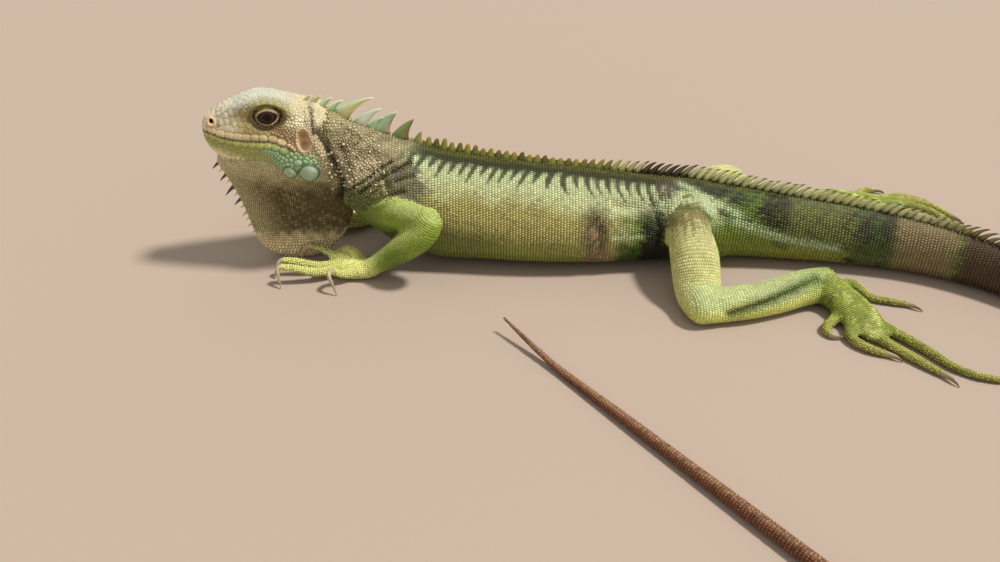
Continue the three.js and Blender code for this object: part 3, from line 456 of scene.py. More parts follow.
def limb_tubes():
    """Every limb as its named tubes and the tips of its claws."""
    limbs = {}
    for name, table, flip, shift in (("left_fore", FORELEG, 1, 0.0),
                                     ("right_fore", FORELEG, -1, RIGHT_FORELEG_SHIFT),
                                     ("left_hind", HIND_LEFT, 1, 0.0), ("right_hind", HIND_RIGHT, 1, 0.0)):
        tubes = {"upper": Tube(table["upper"], flip, shift, True), "lower": Tube(table["lower"], flip, shift),
                 "palm": Tube(table["palm"], flip, shift)}
        claws = []
        for number, (line, tip) in enumerate(table["digits"], 1):
            tubes[f"digit_{number}"] = Tube(line, flip, shift)
            claws.append(np.array([tip[0] + shift, tip[1] * flip, tip[2]], float))
        limbs[name] = (tubes, claws)
    return limbs


LIMBS = limb_tubes()

# ---------------------------------------------------------------- meshes


def mesh_object(name, points, faces):
    """A named object from points in millimetres and lists of faces, set in the scene."""
    mesh = bpy.data.meshes.new(name)
    points = np.asarray(points, np.float32) * MM
    counts = np.concatenate([np.full(len(group), group.shape[1]) for group in faces])
    loops = np.concatenate([group.ravel() for group in faces]).astype(np.int32)
    mesh.vertices.add(len(points))
    mesh.vertices.foreach_set("co", points.ravel())
    mesh.loops.add(len(loops))
    mesh.loops.foreach_set("vertex_index", loops)
    mesh.polygons.add(len(counts))
    mesh.polygons.foreach_set("loop_start", np.concatenate([[0], np.cumsum(counts)[:-1]]).astype(np.int32))
    mesh.polygons.foreach_set("use_smooth", np.ones(len(counts), bool))
    mesh.update(calc_edges=True)
    mesh.validate()
    obj = bpy.data.objects.new(name, mesh)
    bpy.context.scene.collection.objects.link(obj)
    return obj


def tint(obj, colours):
    """Stores one linear colour for each point."""
    layer = obj.data.color_attributes.new("markings", "FLOAT_COLOR", "POINT")
    rgba = np.ones((len(obj.data.vertices), 4), np.float32)
    rgba[:, :3] = colours
    layer.data.foreach_set("color", rgba.ravel())


def finish_piece(obj, slot, material, *nodes):
    """Gives a piece its finish and says what it stands for."""
    obj.data.materials.append(material)
    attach(obj, "root")
    if nodes:
        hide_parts(*nodes)


def loft_faces(rings, around, offset=0):
    """Quads between rings and one flat face at each end."""
    r, i = np.meshgrid(np.arange(rings - 1), np.arange(around), indexing="ij")
    a = r * around + i
    b = r * around + (i + 1) % around
    quads = np.stack([a, b, b + around, a + around], -1).reshape(-1, 4) + offset
    start = np.arange(around)[::-1][None] + offset
    end = np.arange(around)[None] + (rings - 1) * around + offset
    return quads, start, end


def rows_of(items, field, width, kind=np.float32):
    """One field of every point, edge, corner or triangle of a mesh, as rows."""
    rows = np.zeros(len(items) * width, kind)
    items.foreach_get(field, rows)
    return rows.reshape(-1, width)


def coordinates(mesh):
    return rows_of(mesh.vertices, "co", 3).astype(float) / MM


def vertex_normals(mesh):
    return rows_of(mesh.vertices, "normal", 3).astype(float)


def edge_pairs(mesh):
    return rows_of(mesh.edges, "vertices", 2, np.int32)


def set_coordinates(mesh, points):
    mesh.vertices.foreach_set("co", (points * MM).astype(np.float32).ravel())
    mesh.update()


def relax(points, pairs, rounds, weight):
    """Moves each point towards the middle of its neighbours, by a weight of its own."""
    size = len(points)
    degree = np.maximum(np.bincount(pairs.ravel(), minlength=size), 1)[:, None]
    for _ in range(rounds):
        total = np.stack([np.bincount(pairs[:, 0], points[pairs[:, 1], k], size)
                          + np.bincount(pairs[:, 1], points[pairs[:, 0], k], size) for k in range(3)], -1)
        points = points + weight[:, None] * (total / degree - points)
    return points


# ---------------------------------------------------------------- skin


HEAD_AROUND = 88
HEAD_REAR = -128.0  # x behind which places belong to the neck
HEAD_END = 72  # the same as a distance behind the snout tip


def skin_sections():
    """Closed lofts of every fleshy part, as lists of rings."""
    parts = [body_rings(np.arange(-139, 104.1, 3), 72),
             tail_rings(np.append(np.arange(0, 823, 3), 824), 36, 1.7),
             head_rings(np.append(0.4, np.arange(1.4, 68.1, 1.4)), HEAD_AROUND),
             dewlap_rings(np.linspace(-1, 74, 40), 64)]
    for tubes, _ in LIMBS.values():
        for name, tube in tubes.items():
            parts.append(tube.rings(tube.span(1.2), 24 if name.startswith("digit") else 36))
    return parts


def build_skin(voxel, coat_depth):
    """One closed skin round every fleshy part, a coat's depth inside it."""
    points, faces, offset = [], [], 0
    for rings in skin_sections():
        quads, start, end = loft_faces(rings.shape[0], rings.shape[1], offset)
        points.append(rings.reshape(-1, 3))
        faces += [quads, start, end]
        offset += rings.shape[0] * rings.shape[1]
    rough = mesh_object("rough_skin", np.concatenate(points), faces)
    remesh = rough.modifiers.new("remesh", "REMESH")
    remesh.mode = "VOXEL"
    remesh.voxel_size = voxel * MM
    graph = bpy.context.evaluated_depsgraph_get()
    mesh = bpy.data.meshes.new_from_object(rough.evaluated_get(graph))
    bpy.data.objects.remove(rough)
    skin = bpy.data.objects.new("skin", mesh)
    bpy.context.scene.collection.objects.link(skin)
    place, pairs = coordinates(mesh), edge_pairs(mesh)
    folds = junction_weight(place)
    place = relax(place, pairs, 3, np.full(len(place), 0.45))
    place = relax(place, pairs, 26, folds * 0.5)
    set_coordinates(mesh, place)
    place -= vertex_normals(mesh) * coat_depth
    place[:, 2] = np.maximum(place[:, 2], coat_depth)
    set_coordinates(mesh, slim_tail_end(place, coat_depth))
    refine_head(mesh)
    return skin


def slim_tail_end(place, coat_depth):
    """The last straight stretch of the tail, drawn in from the grid's thickness to its own."""
    first = sum(length for length, _ in TAIL_BENDS[:-1])
    start, ahead, side = (v[0] for v in tail_frame([first]))
    s = first + (place - start) @ ahead
    across = (place - start) @ side
    mine = (s > first) & (s < TAIL_LENGTH + 6) & (np.abs(across) < 6) & (place[:, 2] < 16)
    row = along(TAIL, np.clip(s, 0, TAIL_LENGTH))
    rise = np.clip((s - (TAIL_LENGTH - TAIL_RISE_LENGTH)) / TAIL_RISE_LENGTH, 0, 1)
    floor = TAIL_TIP_RISE * rise ** 1.6
    level = floor + row[:, 2] / 2
    ring = np.hypot(across / row[:, 1], (place[:, 2] - level) / (row[:, 2] / 2))
    inner = 1 - np.minimum(coat_depth, 0.35 * row[:, 1]) / row[:, 1]
    pull = 1 + (inner / np.maximum(ring, 0.05) - 1) * step(s, first + 8, first + 45) * mine
    moved = place + side * (across * (pull - 1))[:, None] + UP * ((place[:, 2] - level) * (pull - 1))[:, None]
    return np.where(mine[:, None], moved, place)


# Where limbs and neck flow into the body: a place and its reach.
JUNCTIONS = [
    (-100, -20, 34, 13), (-100, 20, 34, 13), (84, -18, 28, 15), (90, 14, 28, 15), (-74, -38, 34, 7),
    (-76, 38, 34, 7), (80, -70, 11, 8), (122, 60, 14, 8), (-140, -6, 60, 12), (-136, -6, 84, 10),
    (150, -58, 7, 5), (189, 52, 7, 5),
]


def junction_weight(place):
    """How much the skin is drawn over the joins, from 0 to 1."""
    weight = np.zeros(len(place))
    for x, y, z, reach in JUNCTIONS:
        away = np.linalg.norm(place - (x, y, z), axis=1)
        weight = np.maximum(weight, fade(away, reach * 0.8, reach * 1.7))
    return weight


def fine_face(point):
    """Whether a place in metres is near the lids, the nostrils and snout tip, or the eardrums."""
    h, _, z = head_place(np.array([point]) / MM)
    h, z = h[0], z[0]
    lids = 27 < h < 53 and 86.5 < z < 105.5
    nostril = h < 12 and z > 80
    eardrum = 54 < h < 65 and 77 < z < 92
    return lids or nostril or eardrum


def refine_head(mesh):
    """Splits the head's faces so that its folds and lids can be shaped."""
    grid = bmesh.new()
    grid.from_mesh(mesh)
    for round_number in range(2):
        near = {v for v in grid.verts if v.co.x < HEAD_REAR * MM and v.co.z > 0.052}
        if round_number == 1:
            near = {v for v in near if fine_face(v.co)}
        edges = [e for e in grid.edges if e.verts[0] in near and e.verts[1] in near]
        bmesh.ops.subdivide_edges(grid, edges=edges, cuts=1, use_grid_fill=True)
    bmesh.ops.triangulate(grid, faces=[f for f in grid.faces if len(f.verts) > 4])
    grid.to_mesh(mesh)
    grid.free()
    mesh.polygons.foreach_set("use_smooth", np.ones(len(mesh.polygons), bool))
    mesh.update()
    place = coordinates(mesh)
    near = step(-place[:, 0], 126, 130) * step(place[:, 2], 50, 54)
    set_coordinates(mesh, relax(place, edge_pairs(mesh), 3, 0.5 * near))


def line_distance(first, second, line):
    """Distance of places in a plane from a line, and how far along it they lie, from 0 to 1."""
    line = np.asarray(line, float)
    best, share = np.full(len(first), 1e9), np.zeros(len(first))
    for i, (a, b) in enumerate(zip(line[:-1], line[1:])):
        run = b - a
        t = np.clip(((first - a[0]) * run[0] + (second - a[1]) * run[1]) / (run @ run), 0, 1)
        away = np.hypot(first - a[0] - t * run[0], second - a[1] - t * run[1])
        closer = away < best
        best = np.where(closer, away, best)
        share = np.where(closer, (i + t) / (len(line) - 1), share)
    return best, share


# Folds of loose skin, as a line of x and z on both flanks, the width, the depth and the swelling beside it.
FOLDS = [
    ([(-141.9, 105), (-137.4, 101), (-134.8, 96), (-134.0, 90), (-133.6, 85.5)], 0.9, 1.7, 0.7),
    ([(-131.0, 86), (-126.8, 77), (-124.0, 70.3), (-121.8, 64), (-119.8, 57), (-122, 49.5), (-124, 42)],
     1.9, 4.2, 1.5),
    ([(-120.5, 78), (-117.5, 70), (-115.5, 60)], 1.8, 1.3, 0.6),
    ([(-119, 52), (-108, 57.6), (-98.5, 63.5), (-93, 66)], 0.9, 2.6, 1.5),
    ([(-110, 51.5), (-102.3, 57.2), (-95.8, 59.8), (-89, 62), (-82, 64.3)], 1.1, 2.4, 1.2),
    ([(-97, 59.5), (-94.5, 52)], 1.3, 2.2, 0.8),
    ([(-90, 56.5), (-80, 58.5)], 1.0, 1.4, 0.6),
    ([(-105, 44), (-96, 49), (-86, 51)], 1.3, 1.6, 0.6),
    ([(-106, 73), (-101, 68), (-97, 62)], 1.3, 0.9, 0.4),
    ([(57, 42), (61, 32), (62, 18)], 2.6, 2.0, 0.7),
    ([(63, 44), (66, 36), (67, 26)], 2.0, 1.3, 0.6),
    ([(24, 34), (28, 22), (30, 12)], 3.0, 1.0, 0.5),
    ([(36, 42), (50, 40), (62, 43)], 2.2, 0.9, 0.5),
]


def press_folds(place, normals):
    """Presses the folds of the neck, shoulder and flank into the skin."""
    push = np.zeros(len(place))
    outer = step(np.abs(normals[:, 1]), 0.12, 0.4)
    for line, width, depth, swell in FOLDS:
        away, share = line_distance(place[:, 0], place[:, 2], line)
        ends = within(share, 0.04, 0.96, 0.2) * (away < width * 6)
        push += outer * ends * (-depth * bell(away, 0, width) + swell * bell(away, width * 2.1, width * 1.1))
    limb = (np.abs(place[:, 1] + 2) > 33) & (place[:, 0] > -120)
    push[limb] *= 0.2
    return place + normals * push[:, None]


def fold_shade(place):
    """How deep in a fold each place lies, from 0 to 1."""
    mask = np.zeros(len(place))
    flank = (place[:, 0] < -76) & (np.abs(place[:, 1] + 2) < 33)
    for number, (line, width, depth, _) in enumerate(FOLDS[:5]):
        away, share = line_distance(place[:, 0], place[:, 2], line)
        depth = min(1, depth / 2) * (1 if number < 3 else 0.55)
        mask = np.maximum(mask, flank * bell(away, 0, 1.2 * width) * within(share, 0.05, 0.95, 0.2) * depth)
    return mask


def mouth_level(h):
    """Height of the mouth's line at distances behind the snout tip."""
    return np.interp(h, MOUTH[:, 0], MOUTH[:, 1])


def nostril_distance(h, z):
    return np.hypot(h - NOSTRIL["h"], z - NOSTRIL["z"])


def drum_ring(h, z):
    """How far out from the eardrum's middle a place lies: 1 at its edge."""
    return np.hypot((h - EARDRUM["h"]) / EARDRUM["long"], (z - EARDRUM["z"]) / EARDRUM["high"])


BALL_SQUEEZE = 0.8  # the eyeball is longer than high
LID_SHUT = 0.95  # height of the opening against the eye's own
LID_POINT = 1.7  # 2 is an oval, and less gives pointed corners


def lid_ring(h, z):
    """How far out from the eye's middle a place lies: 1 at the lids' edge, with pointed corners."""
    c, s = math.cos(EYE["tilt"]), math.sin(EYE["tilt"])
    dh, dz = h - EYE["h"], z - EYE["z"]
    x, y = dh * c + dz * s, -dh * s + dz * c
    long, high = EYE["long"], EYE["high"] * LID_SHUT
    return ((np.abs(x) / long) ** LID_POINT + (np.abs(y) / high) ** LID_POINT) ** (1 / LID_POINT)


def ball_surface(h, z):
    """How far from the middle plane the eyeball's surface lies."""
    rest = EYE["ball"] ** 2 - BALL_SQUEEZE * (h - EYE["h"]) ** 2 - (z - EYE["z"]) ** 2
    return EYE["out"] + np.sqrt(np.maximum(rest, 0))


def shape_head(place):
    """Eye sockets with lids, nostrils, the mouth's line, eardrums and the hollows of the face."""
    h, across, z = head_place(place)
    side = np.sign(across)
    out = np.abs(across)
    head = (h < HEAD_END) & (z > 50)
    facing = head & (out > 3.2)

    ring = lid_ring(h, z)
    near = facing & (ring < 2.6) & (out > 6)
    snap = near & (ring > 0.72) & (ring < 1.1)
    pull = np.where(snap, 1.0 / np.maximum(ring, 0.1), 1.0)
    h = np.where(snap, EYE["h"] + (h - EYE["h"]) * pull, h)
    z = np.where(snap, EYE["z"] + (z - EYE["z"]) * pull, z)
    ring = np.where(snap, 1.0, ring)
    ball = ball_surface(h, z)
    lids = (ball + 0.35 + 0.6 * bell(ring, 1.1, 0.08) - 0.6 * bell(ring, 1.32, 0.08)
            + 0.5 * bell(ring, 1.58, 0.12) - 0.45 * bell(ring, 1.8, 0.1))
    blend = step(ring, 1.25, 2.1)
    shaped = lids * (1 - blend) + out * blend
    shaped = np.where(ring < 0.99, np.minimum(out, ball - 2.6), shaped)
    out = np.where(near, shaped, out)
    brow = swell(h, z, (38, 102.4), (11, 2.2)) * head
    out = out + 0.7 * brow * (out > 8)
    hollow = swell(h, z, (27, 93.5), (6, 3.4)) * facing
    out = out - 0.9 * hollow
    socket = swell(h, z, (42, 87.2), (11, 1.8)) * facing * (ring > 1.7)
    out = out - 0.55 * socket

    away = nostril_distance(h, z)
    there = facing & (away < 4.2)
    out = out + np.where(there, 0.75 * bell(away, 2.0, 0.8) - 2.2 * fade(away, 0.5, 1.5), 0)

    away, share = line_distance(h, z, MOUTH)
    lips = head * (out > 1.2) * within(share, 0.0, 0.97, 0.03)
    level = mouth_level(h)
    out = out + lips * (-1.15 * bell(away, 0, 0.5) + 0.45 * bell(z - level, 1.7, 1.1) * (away < 4)
                        + 0.3 * bell(z - level, -1.8, 1.1) * (away < 4))

    drum = drum_ring(h, z)
    there = facing & (drum < 2)
    out = out + np.where(there, -1.3 * fade(drum, 0.62, 1.0) + 0.55 * bell(drum, 1.14, 0.16), 0)
    inner = np.hypot((h - EARDRUM["h"]) / 1.6, (np.abs(z - EARDRUM["z"]) - 2.1) / 1.5)
    out = out - np.where(there & (drum < 0.8), 0.45 * bell(inner, 0, 0.8), 0)

    for plate_h, plate_z, long, high, thick in CHEEK_PLATES:
        away = np.hypot((h - plate_h) / long, (z - plate_z) / high)
        out = out - np.where(facing & (away < 2), 0.5 * thick * fade(away, 0.7, 1.12), 0)
    jaw = swell(h, z, (54, 70), (9, 7)) * facing
    out = out + 0.9 * jaw
    temple = swell(h, z, (53, 95), (5, 4)) * facing
    out = out - 0.5 * temple
    moved = head_point(h, side * out, z)
    return np.where(head[:, None], moved, place)


SHANK_GROOVE = [(92, 9.5), (104, 12), (118, 14.2), (130, 16.6), (143, 19.0)]


def shape_limbs(place, normals):
    """Muscle and tendon lines of the hind legs."""
    push = np.zeros(len(place))
    flank, outer = place[:, 1] < -30, step(-normals[:, 1], 0.2, 0.6)
    for line, width, depth in ((SHANK_GROOVE, 2.4, 1.5), ([(80, 30), (84, 22), (88, 14)], 3.2, 0.8)):
        away, share = line_distance(place[:, 0], place[:, 2], line)
        push -= flank * depth * bell(away, 0, width) * within(share, 0.03, 0.97, 0.2) * outer
    return place + normals * push[:, None]


# ---------------------------------------------------------------- seeds of scales


class Seeds:
    """Places where scales grow, as growing lists of equal length."""

    FIELDS = ("place", "back", "chart", "spot", "size", "style")

    def __init__(self):
        self.rows = {field: [] for field in self.FIELDS}

    def add(self, **fields):
        for field in self.FIELDS:
            self.rows[field].append(np.asarray(fields[field], float))

    def close(self):
        for field in self.FIELDS:
            setattr(self, field, np.concatenate(self.rows[field]))

    def keep(self, chosen):
        for field in self.FIELDS:
            setattr(self, field, getattr(self, field)[chosen])


# Charts of the unwrap: a number for each length of the animal.
CHART = {"body": 0, "tail": 1, "head": 2, "dewlap": 3}
LIMB_PARTS = ["upper", "lower", "palm", "digit_1", "digit_2", "digit_3", "digit_4", "digit_5"]
LEG_PARTS = 2  # the first of them, which are the leg, and the rest the foot
LIMB_CHART = {name: 10 * (i + 1) for i, name in enumerate(LIMBS)}
# Styles of scale, in the order of the STYLE tables.
KEELED, GRANULE, PLATE, CONE = range(4)
SIMPLE = 0  # corners of the low scales of the underside, which have a rim and a peak only


ROW_POINTS = 160  # points round the animal that a row of scales follows


def rows_of_scales(seeds, rings_at, places, across_at, along_step, chart, style):
    """Rows across a length of the animal, each shifted by half a scale from the last."""
    rings = rings_at(places, ROW_POINTS)
    onward = rings_at(places + 0.5, ROW_POINTS)
    for row, (ring, after) in enumerate(zip(rings, onward)):
        gaps = np.linalg.norm(np.roll(ring, -1, 0) - ring, axis=1)
        run = np.concatenate([[0], np.cumsum(gaps)])
        whole = run[-1]
        pitch = across_at[row]
        count = max(3, int(round(whole / pitch)))
        offsets = ((np.arange(count) + 0.5 * (row % 2)) / count - 0.5) * whole
        offsets += rng.normal(0, 0.04 * pitch, count)
        looped = np.vstack([ring, ring[:1]])
        looped_after = np.vstack([after, after[:1]])
        at = np.mod(offsets, whole)
        place = walk(at, run, looped)
        back = walk(at, run, looped_after) - place
        seeds.add(place=place, back=unit(back), chart=np.full(count, chart),
                  size=np.tile([along_step[row], pitch], (count, 1)),
                  spot=np.stack([np.full(count, places[row]), offsets], -1), style=np.full(count, style))


def paced(first, last, pace):
    """Places from first to last with a pace that changes on the way."""
    places = [first]
    while places[-1] < last:
        places.append(places[-1] + float(pace(places[-1])))
    return np.array(places[:-1])


def scale_rows(size):
    """All scales that stand in rows: trunk, tail, limbs and dewlap."""
    seeds = Seeds()
    x = paced(-97, 101, lambda x: size * (1.72 + 0.15 * step(x, 40, 100)))
    rows_of_scales(seeds, body_rings, x, 1.46 * size + 0.12 * step(x, 40, 100), np.gradient(x),
                   CHART["body"], KEELED)
    stops = [0, 150, 500, TAIL_LENGTH]
    s = paced(1, TAIL_LENGTH - 3, lambda s: size * np.interp(s, stops, [1.9, 1.9, 1.75, 1.4]))
    pitch = size * np.interp(s, stops, [1.6, 1.55, 1.3, 0.95])
    rows_of_scales(seeds, tail_rings, s, pitch, np.gradient(s), CHART["tail"], KEELED)
    z = paced(0.5, 70, lambda z: (1.25 + 0.9 * fade(z, 8, 18)) * size)
    rows_of_scales(seeds, dewlap_rings, z, 1.25 * size + 0.9 * fade(z, 8, 18), np.gradient(z),
                   CHART["dewlap"], GRANULE)
    for name, (tubes, _) in LIMBS.items():
        hind = name.endswith("hind")
        for number, part in enumerate(LIMB_PARTS):
            tube = tubes[part]
            digit = part.startswith("digit")
            base = 1.3 if digit else 1.4 if part == "palm" else 1.62 if hind else 1.5
            start = 0.5 if digit or part == "palm" else -0.4 * tube.cap[0]
            s = paced(start, tube.length + (0.5 * tube.cap[1] if digit else 0.2), lambda s: base * size)
            pitch = (1.1 if digit else base * 0.87) * size
            rows_of_scales(seeds, tube.rings, s, np.full(len(s), pitch), np.full(len(s), base * size),
                           LIMB_CHART[name] + number, GRANULE if number < LEG_PARTS else KEELED)
    seeds.close()
    return seeds


def tree_of(points):
    tree = KDTree(len(points))
    for i, point in enumerate(points):
        tree.insert(point, i)
    tree.balance()
    return tree


def settle_on(surface, places):
    """Nearest places on the skin, with how far each had to move."""
    found = [surface.find_nearest(Vector(p)) for p in places]
    return np.array([hit[0][:] for hit in found]), np.array([hit[3] for hit in found])


def settled_rows(seeds, surface):
    """Sets the rows on the skin and drops those that are buried or that meet another length's rows."""
    place, moved = settle_on(surface, seeds.place)
    limit = np.where(seeds.chart < 2, 3.4, 2.2)
    seeds.place = place
    seeds.keep(moved < limit)
    tree = tree_of(seeds.place)
    part = seeds.chart
    rank = np.where(part >= 10, 2, np.where(part == CHART["dewlap"], 1, 0))
    drop = np.zeros(len(part), bool)
    reach = 0.72 * seeds.size.min(1)
    for i, point in enumerate(seeds.place):
        for _, j, _ in tree.find_range(point, reach[i]):
            if j != i and not drop[j] and (rank[j], part[j], j) > (rank[i], part[i], i):
                drop[i] = True
                break
    seeds.keep(~drop)


def head_scale_size(h, across, z):
    """The size wanted for a head scale at a place on the head."""
    out = np.abs(across)
    size = np.full(len(h), 1.75)
    top = step(z - (92 + 0.32 * h), 1.5, 4.5)
    size += top * (1.9 * fade(h, 24, 34) + 1.0 * within(h, 30, 60, 6))
    snout = step(out, 2, 4) * fade(h, 26, 34) * step(z, 84.5, 86)
    size += 1.5 * snout * (1 - top)
    brow = swell(h, z, (39, 102.0), (12, 2.6))
    size = size * (1 - 0.42 * brow)
    ring = lid_ring(h, z)
    lids = fade(ring, 1.55, 2.3) * (out > 5)
    size = size * (1 - lids) + 0.95 * lids
    jaw = within(z, 66, 80, 3) * within(h, 12, 68, 5) * (out > 6)
    size += jaw * (0.9 * fade(h, 30, 38) + 1.3 * bell(np.hypot(h - 54, z - 67), 0, 10))
    chin = fade(z, 64, 70)
    size = size * (1 - chin) + 1.55 * chin
    drum = drum_ring(h, z)
    size = np.where((drum < 1.7) & (out > 8), 1.3, size)
    return np.where((nostril_distance(h, z) < 3.2) & (out > 3), 1.15, size)


def bare_places(points):
    """Places on the head where no scale grows: eyes, nostrils, eardrums and under the cheek plates."""
    h, across, z = head_place(points)
    out = np.abs(across)
    ring = lid_ring(h, z)
    bare = (ring < 1.07) & (out > 6)
    bare |= (nostril_distance(h, z) < 1.7) & (out > 3)
    bare |= (drum_ring(h, z) < 1.04) & (out > 8)
    for plate_h, plate_z, long, high, _ in CHEEK_PLATES:
        bare |= (np.hypot((h - plate_h) / (long + 0.5), (z - plate_z) / (high + 0.5)) < 1.0) & (out > 8)
    return bare & (h < HEAD_END) & (points[:, 2] > 55)


def lip_seeds(surface):
    """Rows of larger plates along both lips."""
    seeds = Seeds()
    for above, length, first, last in ((1.75, 4.8, 2.4, 49), (-1.85, 4.4, 2.8, 48)):
        h = np.arange(first, last, length)
        z = mouth_level(h) + above
        for sign in (-1, 1):
            ring = head_rings(h, HEAD_AROUND)
            _, across, level = head_place(ring.reshape(-1, 3))
            across, level = across.reshape(ring.shape[:2]), level.reshape(ring.shape[:2])
            gap = np.where(across * sign > 0, np.abs(level - z[:, None]), 99)
            pick = gap.argmin(1)
            out = across[np.arange(len(h)), pick]
            place, _ = settle_on(surface, head_point(h, out, z))
            count = len(h)
            seeds.add(place=place, back=np.tile(HEAD_AHEAD, (count, 1)), chart=np.full(count, CHART["head"]),
                      spot=np.stack([h, np.full(count, sign * (30 - above))], -1),
                      size=np.tile([length, 3.3], (count, 1)), style=np.full(count, PLATE))
    seeds.close()
    return seeds


def scattered(candidates, wanted, taken, reach):
    """Evenly scattered picks from the candidates, clear of places already taken."""
    tree = tree_of(candidates)
    alive = np.ones(len(candidates), bool)
    for point, clear in zip(taken, reach):
        for _, j, _ in tree.find_range(point, clear):
            alive[j] = False
    free = alive.copy()
    picks = []
    for i in np.random.default_rng(SEED).permutation(len(candidates)):
        if alive[i]:
            picks.append(i)
            for _, j, _ in tree.find_range(candidates[i], 0.82 * wanted[i]):
                alive[j] = False
    picks = np.array(picks)
    for _ in range(3):
        near = tree_of(candidates[picks])
        owner = np.array([near.find(p)[1] if ok else -1 for p, ok in zip(candidates, free)])
        used = owner >= 0
        count = np.maximum(np.bincount(owner[used], minlength=len(picks)), 1)
        total = np.stack([np.bincount(owner[used], candidates[used, k], len(picks)) for k in range(3)], -1)
        picks = np.unique(np.array([tree.find(middle)[1] for middle in total / count[:, None]]))
    return picks


def scattered_scales(points, faces, seeds, fineness):
    """Granules and plates wherever no row reaches: head, neck, armpits and folds."""
    head = (points[:, 0] < HEAD_REAR) & (points[:, 2] > 52)
    middle = points[faces].mean(1)
    half = (points[faces] + points[np.roll(faces, -1, 1)]) / 2
    extra = np.concatenate([middle[None], half.transpose(1, 0, 2)]).reshape(-1, 3)
    tree = tree_of(seeds.place)
    distance = np.array([tree.find(p)[2] for p in points])
    open_points = distance > 1.5
    open_faces = open_points[faces].all(1)
    keep_extra = np.tile(open_faces & ~head[faces].all(1), half.shape[1] + 1)
    candidates = np.concatenate([points[open_points | head], extra[keep_extra]])
    candidates = candidates[~bare_places(candidates)]
    h, across, z = head_place(candidates)
    on_head = (candidates[:, 0] < HEAD_REAR) & (candidates[:, 2] > 55)
    wanted = np.where(on_head, head_scale_size(h, across, z), 1.45)
    lumps = noise(candidates, 9, 3)
    on_neck = ~on_head & (candidates[:, 0] < NECK_END) & (candidates[:, 2] > 30)
    wanted = np.where(on_neck, 1.5 + 0.75 * np.maximum(lumps, 0), wanted) * fineness
    picks = scattered(candidates, wanted, seeds.place, 0.42 * seeds.size.sum(1) * 0.98)
    place = candidates[picks]
    count = len(place)
    size = wanted[picks]
    owners = [tree.find(p)[1] for p in place]
    face = on_head[picks]
    back = np.where(face[:, None], HEAD_AHEAD, seeds.back[owners])
    head_spot = np.stack([h[picks], np.degrees(np.arctan2(across[picks], z[picks] - 82)) / 2], -1)
    near_spot = seeds.spot[owners] + rng.normal(0, 0.8, (count, 2))
    neck_spot = np.stack([place[:, 0], place[:, 2] * np.sign(place[:, 1] + 4)], -1)
    neck_chart = on_neck[picks]
    spot = np.where(face[:, None], head_spot, np.where(neck_chart[:, None], neck_spot, near_spot))
    chart = np.where(face, CHART["head"], np.where(neck_chart, CHART["body"], seeds.chart[owners]))
    upper = step(place[:, 2], 48, 62) * (np.abs(place[:, 1] + 5) > 4)
    cone = neck_chart & (rng.random(count) < 0.17 * upper)
    style = np.where(face & (size > 1.55), PLATE, np.where(cone, CONE, GRANULE))
    size = np.where(cone, size * 1.8, size)
    new = Seeds()
    new.add(place=place, back=unit(back), chart=chart, spot=spot, size=np.stack([size, size], -1),
            style=style)
    new.close()
    return new


def joined_seeds(*groups):
    seeds = Seeds()
    for group in groups:
        seeds.add(**{field: getattr(group, field) for field in Seeds.FIELDS})
    seeds.close()
    return seeds


# ---------------------------------------------------------------- scale solids


NEIGHBOURS = 12


def neighbour_view(seeds, normal):
    """Each scale's nearest neighbours in its own plane, and its own share of the way to them."""
    across = unit(np.cross(normal, seeds.back))
    tree = tree_of(seeds.place)
    found = np.array([[j for _, j, _ in tree.find_n(p, NEIGHBOURS + 1)][1:] for p in seeds.place])
    rest = seeds.place[found] - seeds.place[:, None]
    x, y, z = (np.einsum("nkd,nd->nk", rest, axis) for axis in (seeds.back, across, normal))
    mean = seeds.size.mean(1)
    return x, y, z, mean[:, None] / (mean[:, None] + mean[found])


def cell_rims(view, size, around):
    """Rim distances and drops round each scale, where it meets its neighbours."""
    x, y, z, share = view
    flat = x * x + y * y
    turn = turns(around)
    toward = x[..., None] * np.cos(turn) + y[..., None] * np.sin(turn)
    reach = np.where(toward > 1e-3, (share * flat)[..., None] / np.maximum(toward, 1e-3), 1e6)
    pick = reach.argmin(1)
    rim = np.take_along_axis(reach, pick[:, None], 1)[:, 0]
    rim = np.minimum(rim, 0.66 * np.hypot(size[:, :1] * np.cos(turn), size[:, 1:] * np.sin(turn)))
    drop = np.take_along_axis(z, pick, 1) * rim ** 2 / np.maximum(np.take_along_axis(flat, pick, 1), 0.1)
    return rim, np.clip(drop, -0.8, 0.5), turn


# For each style: height, reach and height of the shoulder as shares, and painted shade of the rim.
STYLE_HEIGHT = np.array([0.40, 0.34, 0.15, 1.15])
STYLE_SHOULDER = np.array([0.64, 0.66, 0.88, 0.45])
STYLE_SIDE = np.array([0.60, 0.82, 0.97, 0.55])
STYLE_RIM_SHADE = np.array([0.52, 0.55, 0.80, 0.45])


def smoothness(seeds):
    """How smooth the scales lie: wholly on crown, snout, lips and chin, partly on the legs, else not."""
    h, _, z = head_place(seeds.place)
    over = z - mouth_level(h)
    crown = step(z - np.interp(h, *ROOF), -1, 1)
    face = np.maximum(crown, 1 - 0.85 * step(h, 32, 44))
    lips = np.where(over > 0, 1.2 - 0.5 * step(h, 20, 30), 1.0)
    face = np.where((np.abs(over) < 3.4) & (h < 50), lips, face)
    face = np.where((over > 3.4) & (face > 0.5), np.maximum(face, 1.3 * fade(h, 26, 34)), face)
    leg = 0.65 * (seeds.chart >= 10) * (np.mod(seeds.chart, 10) < LEG_PARTS)
    return np.where(seeds.chart == CHART["head"], face, leg)


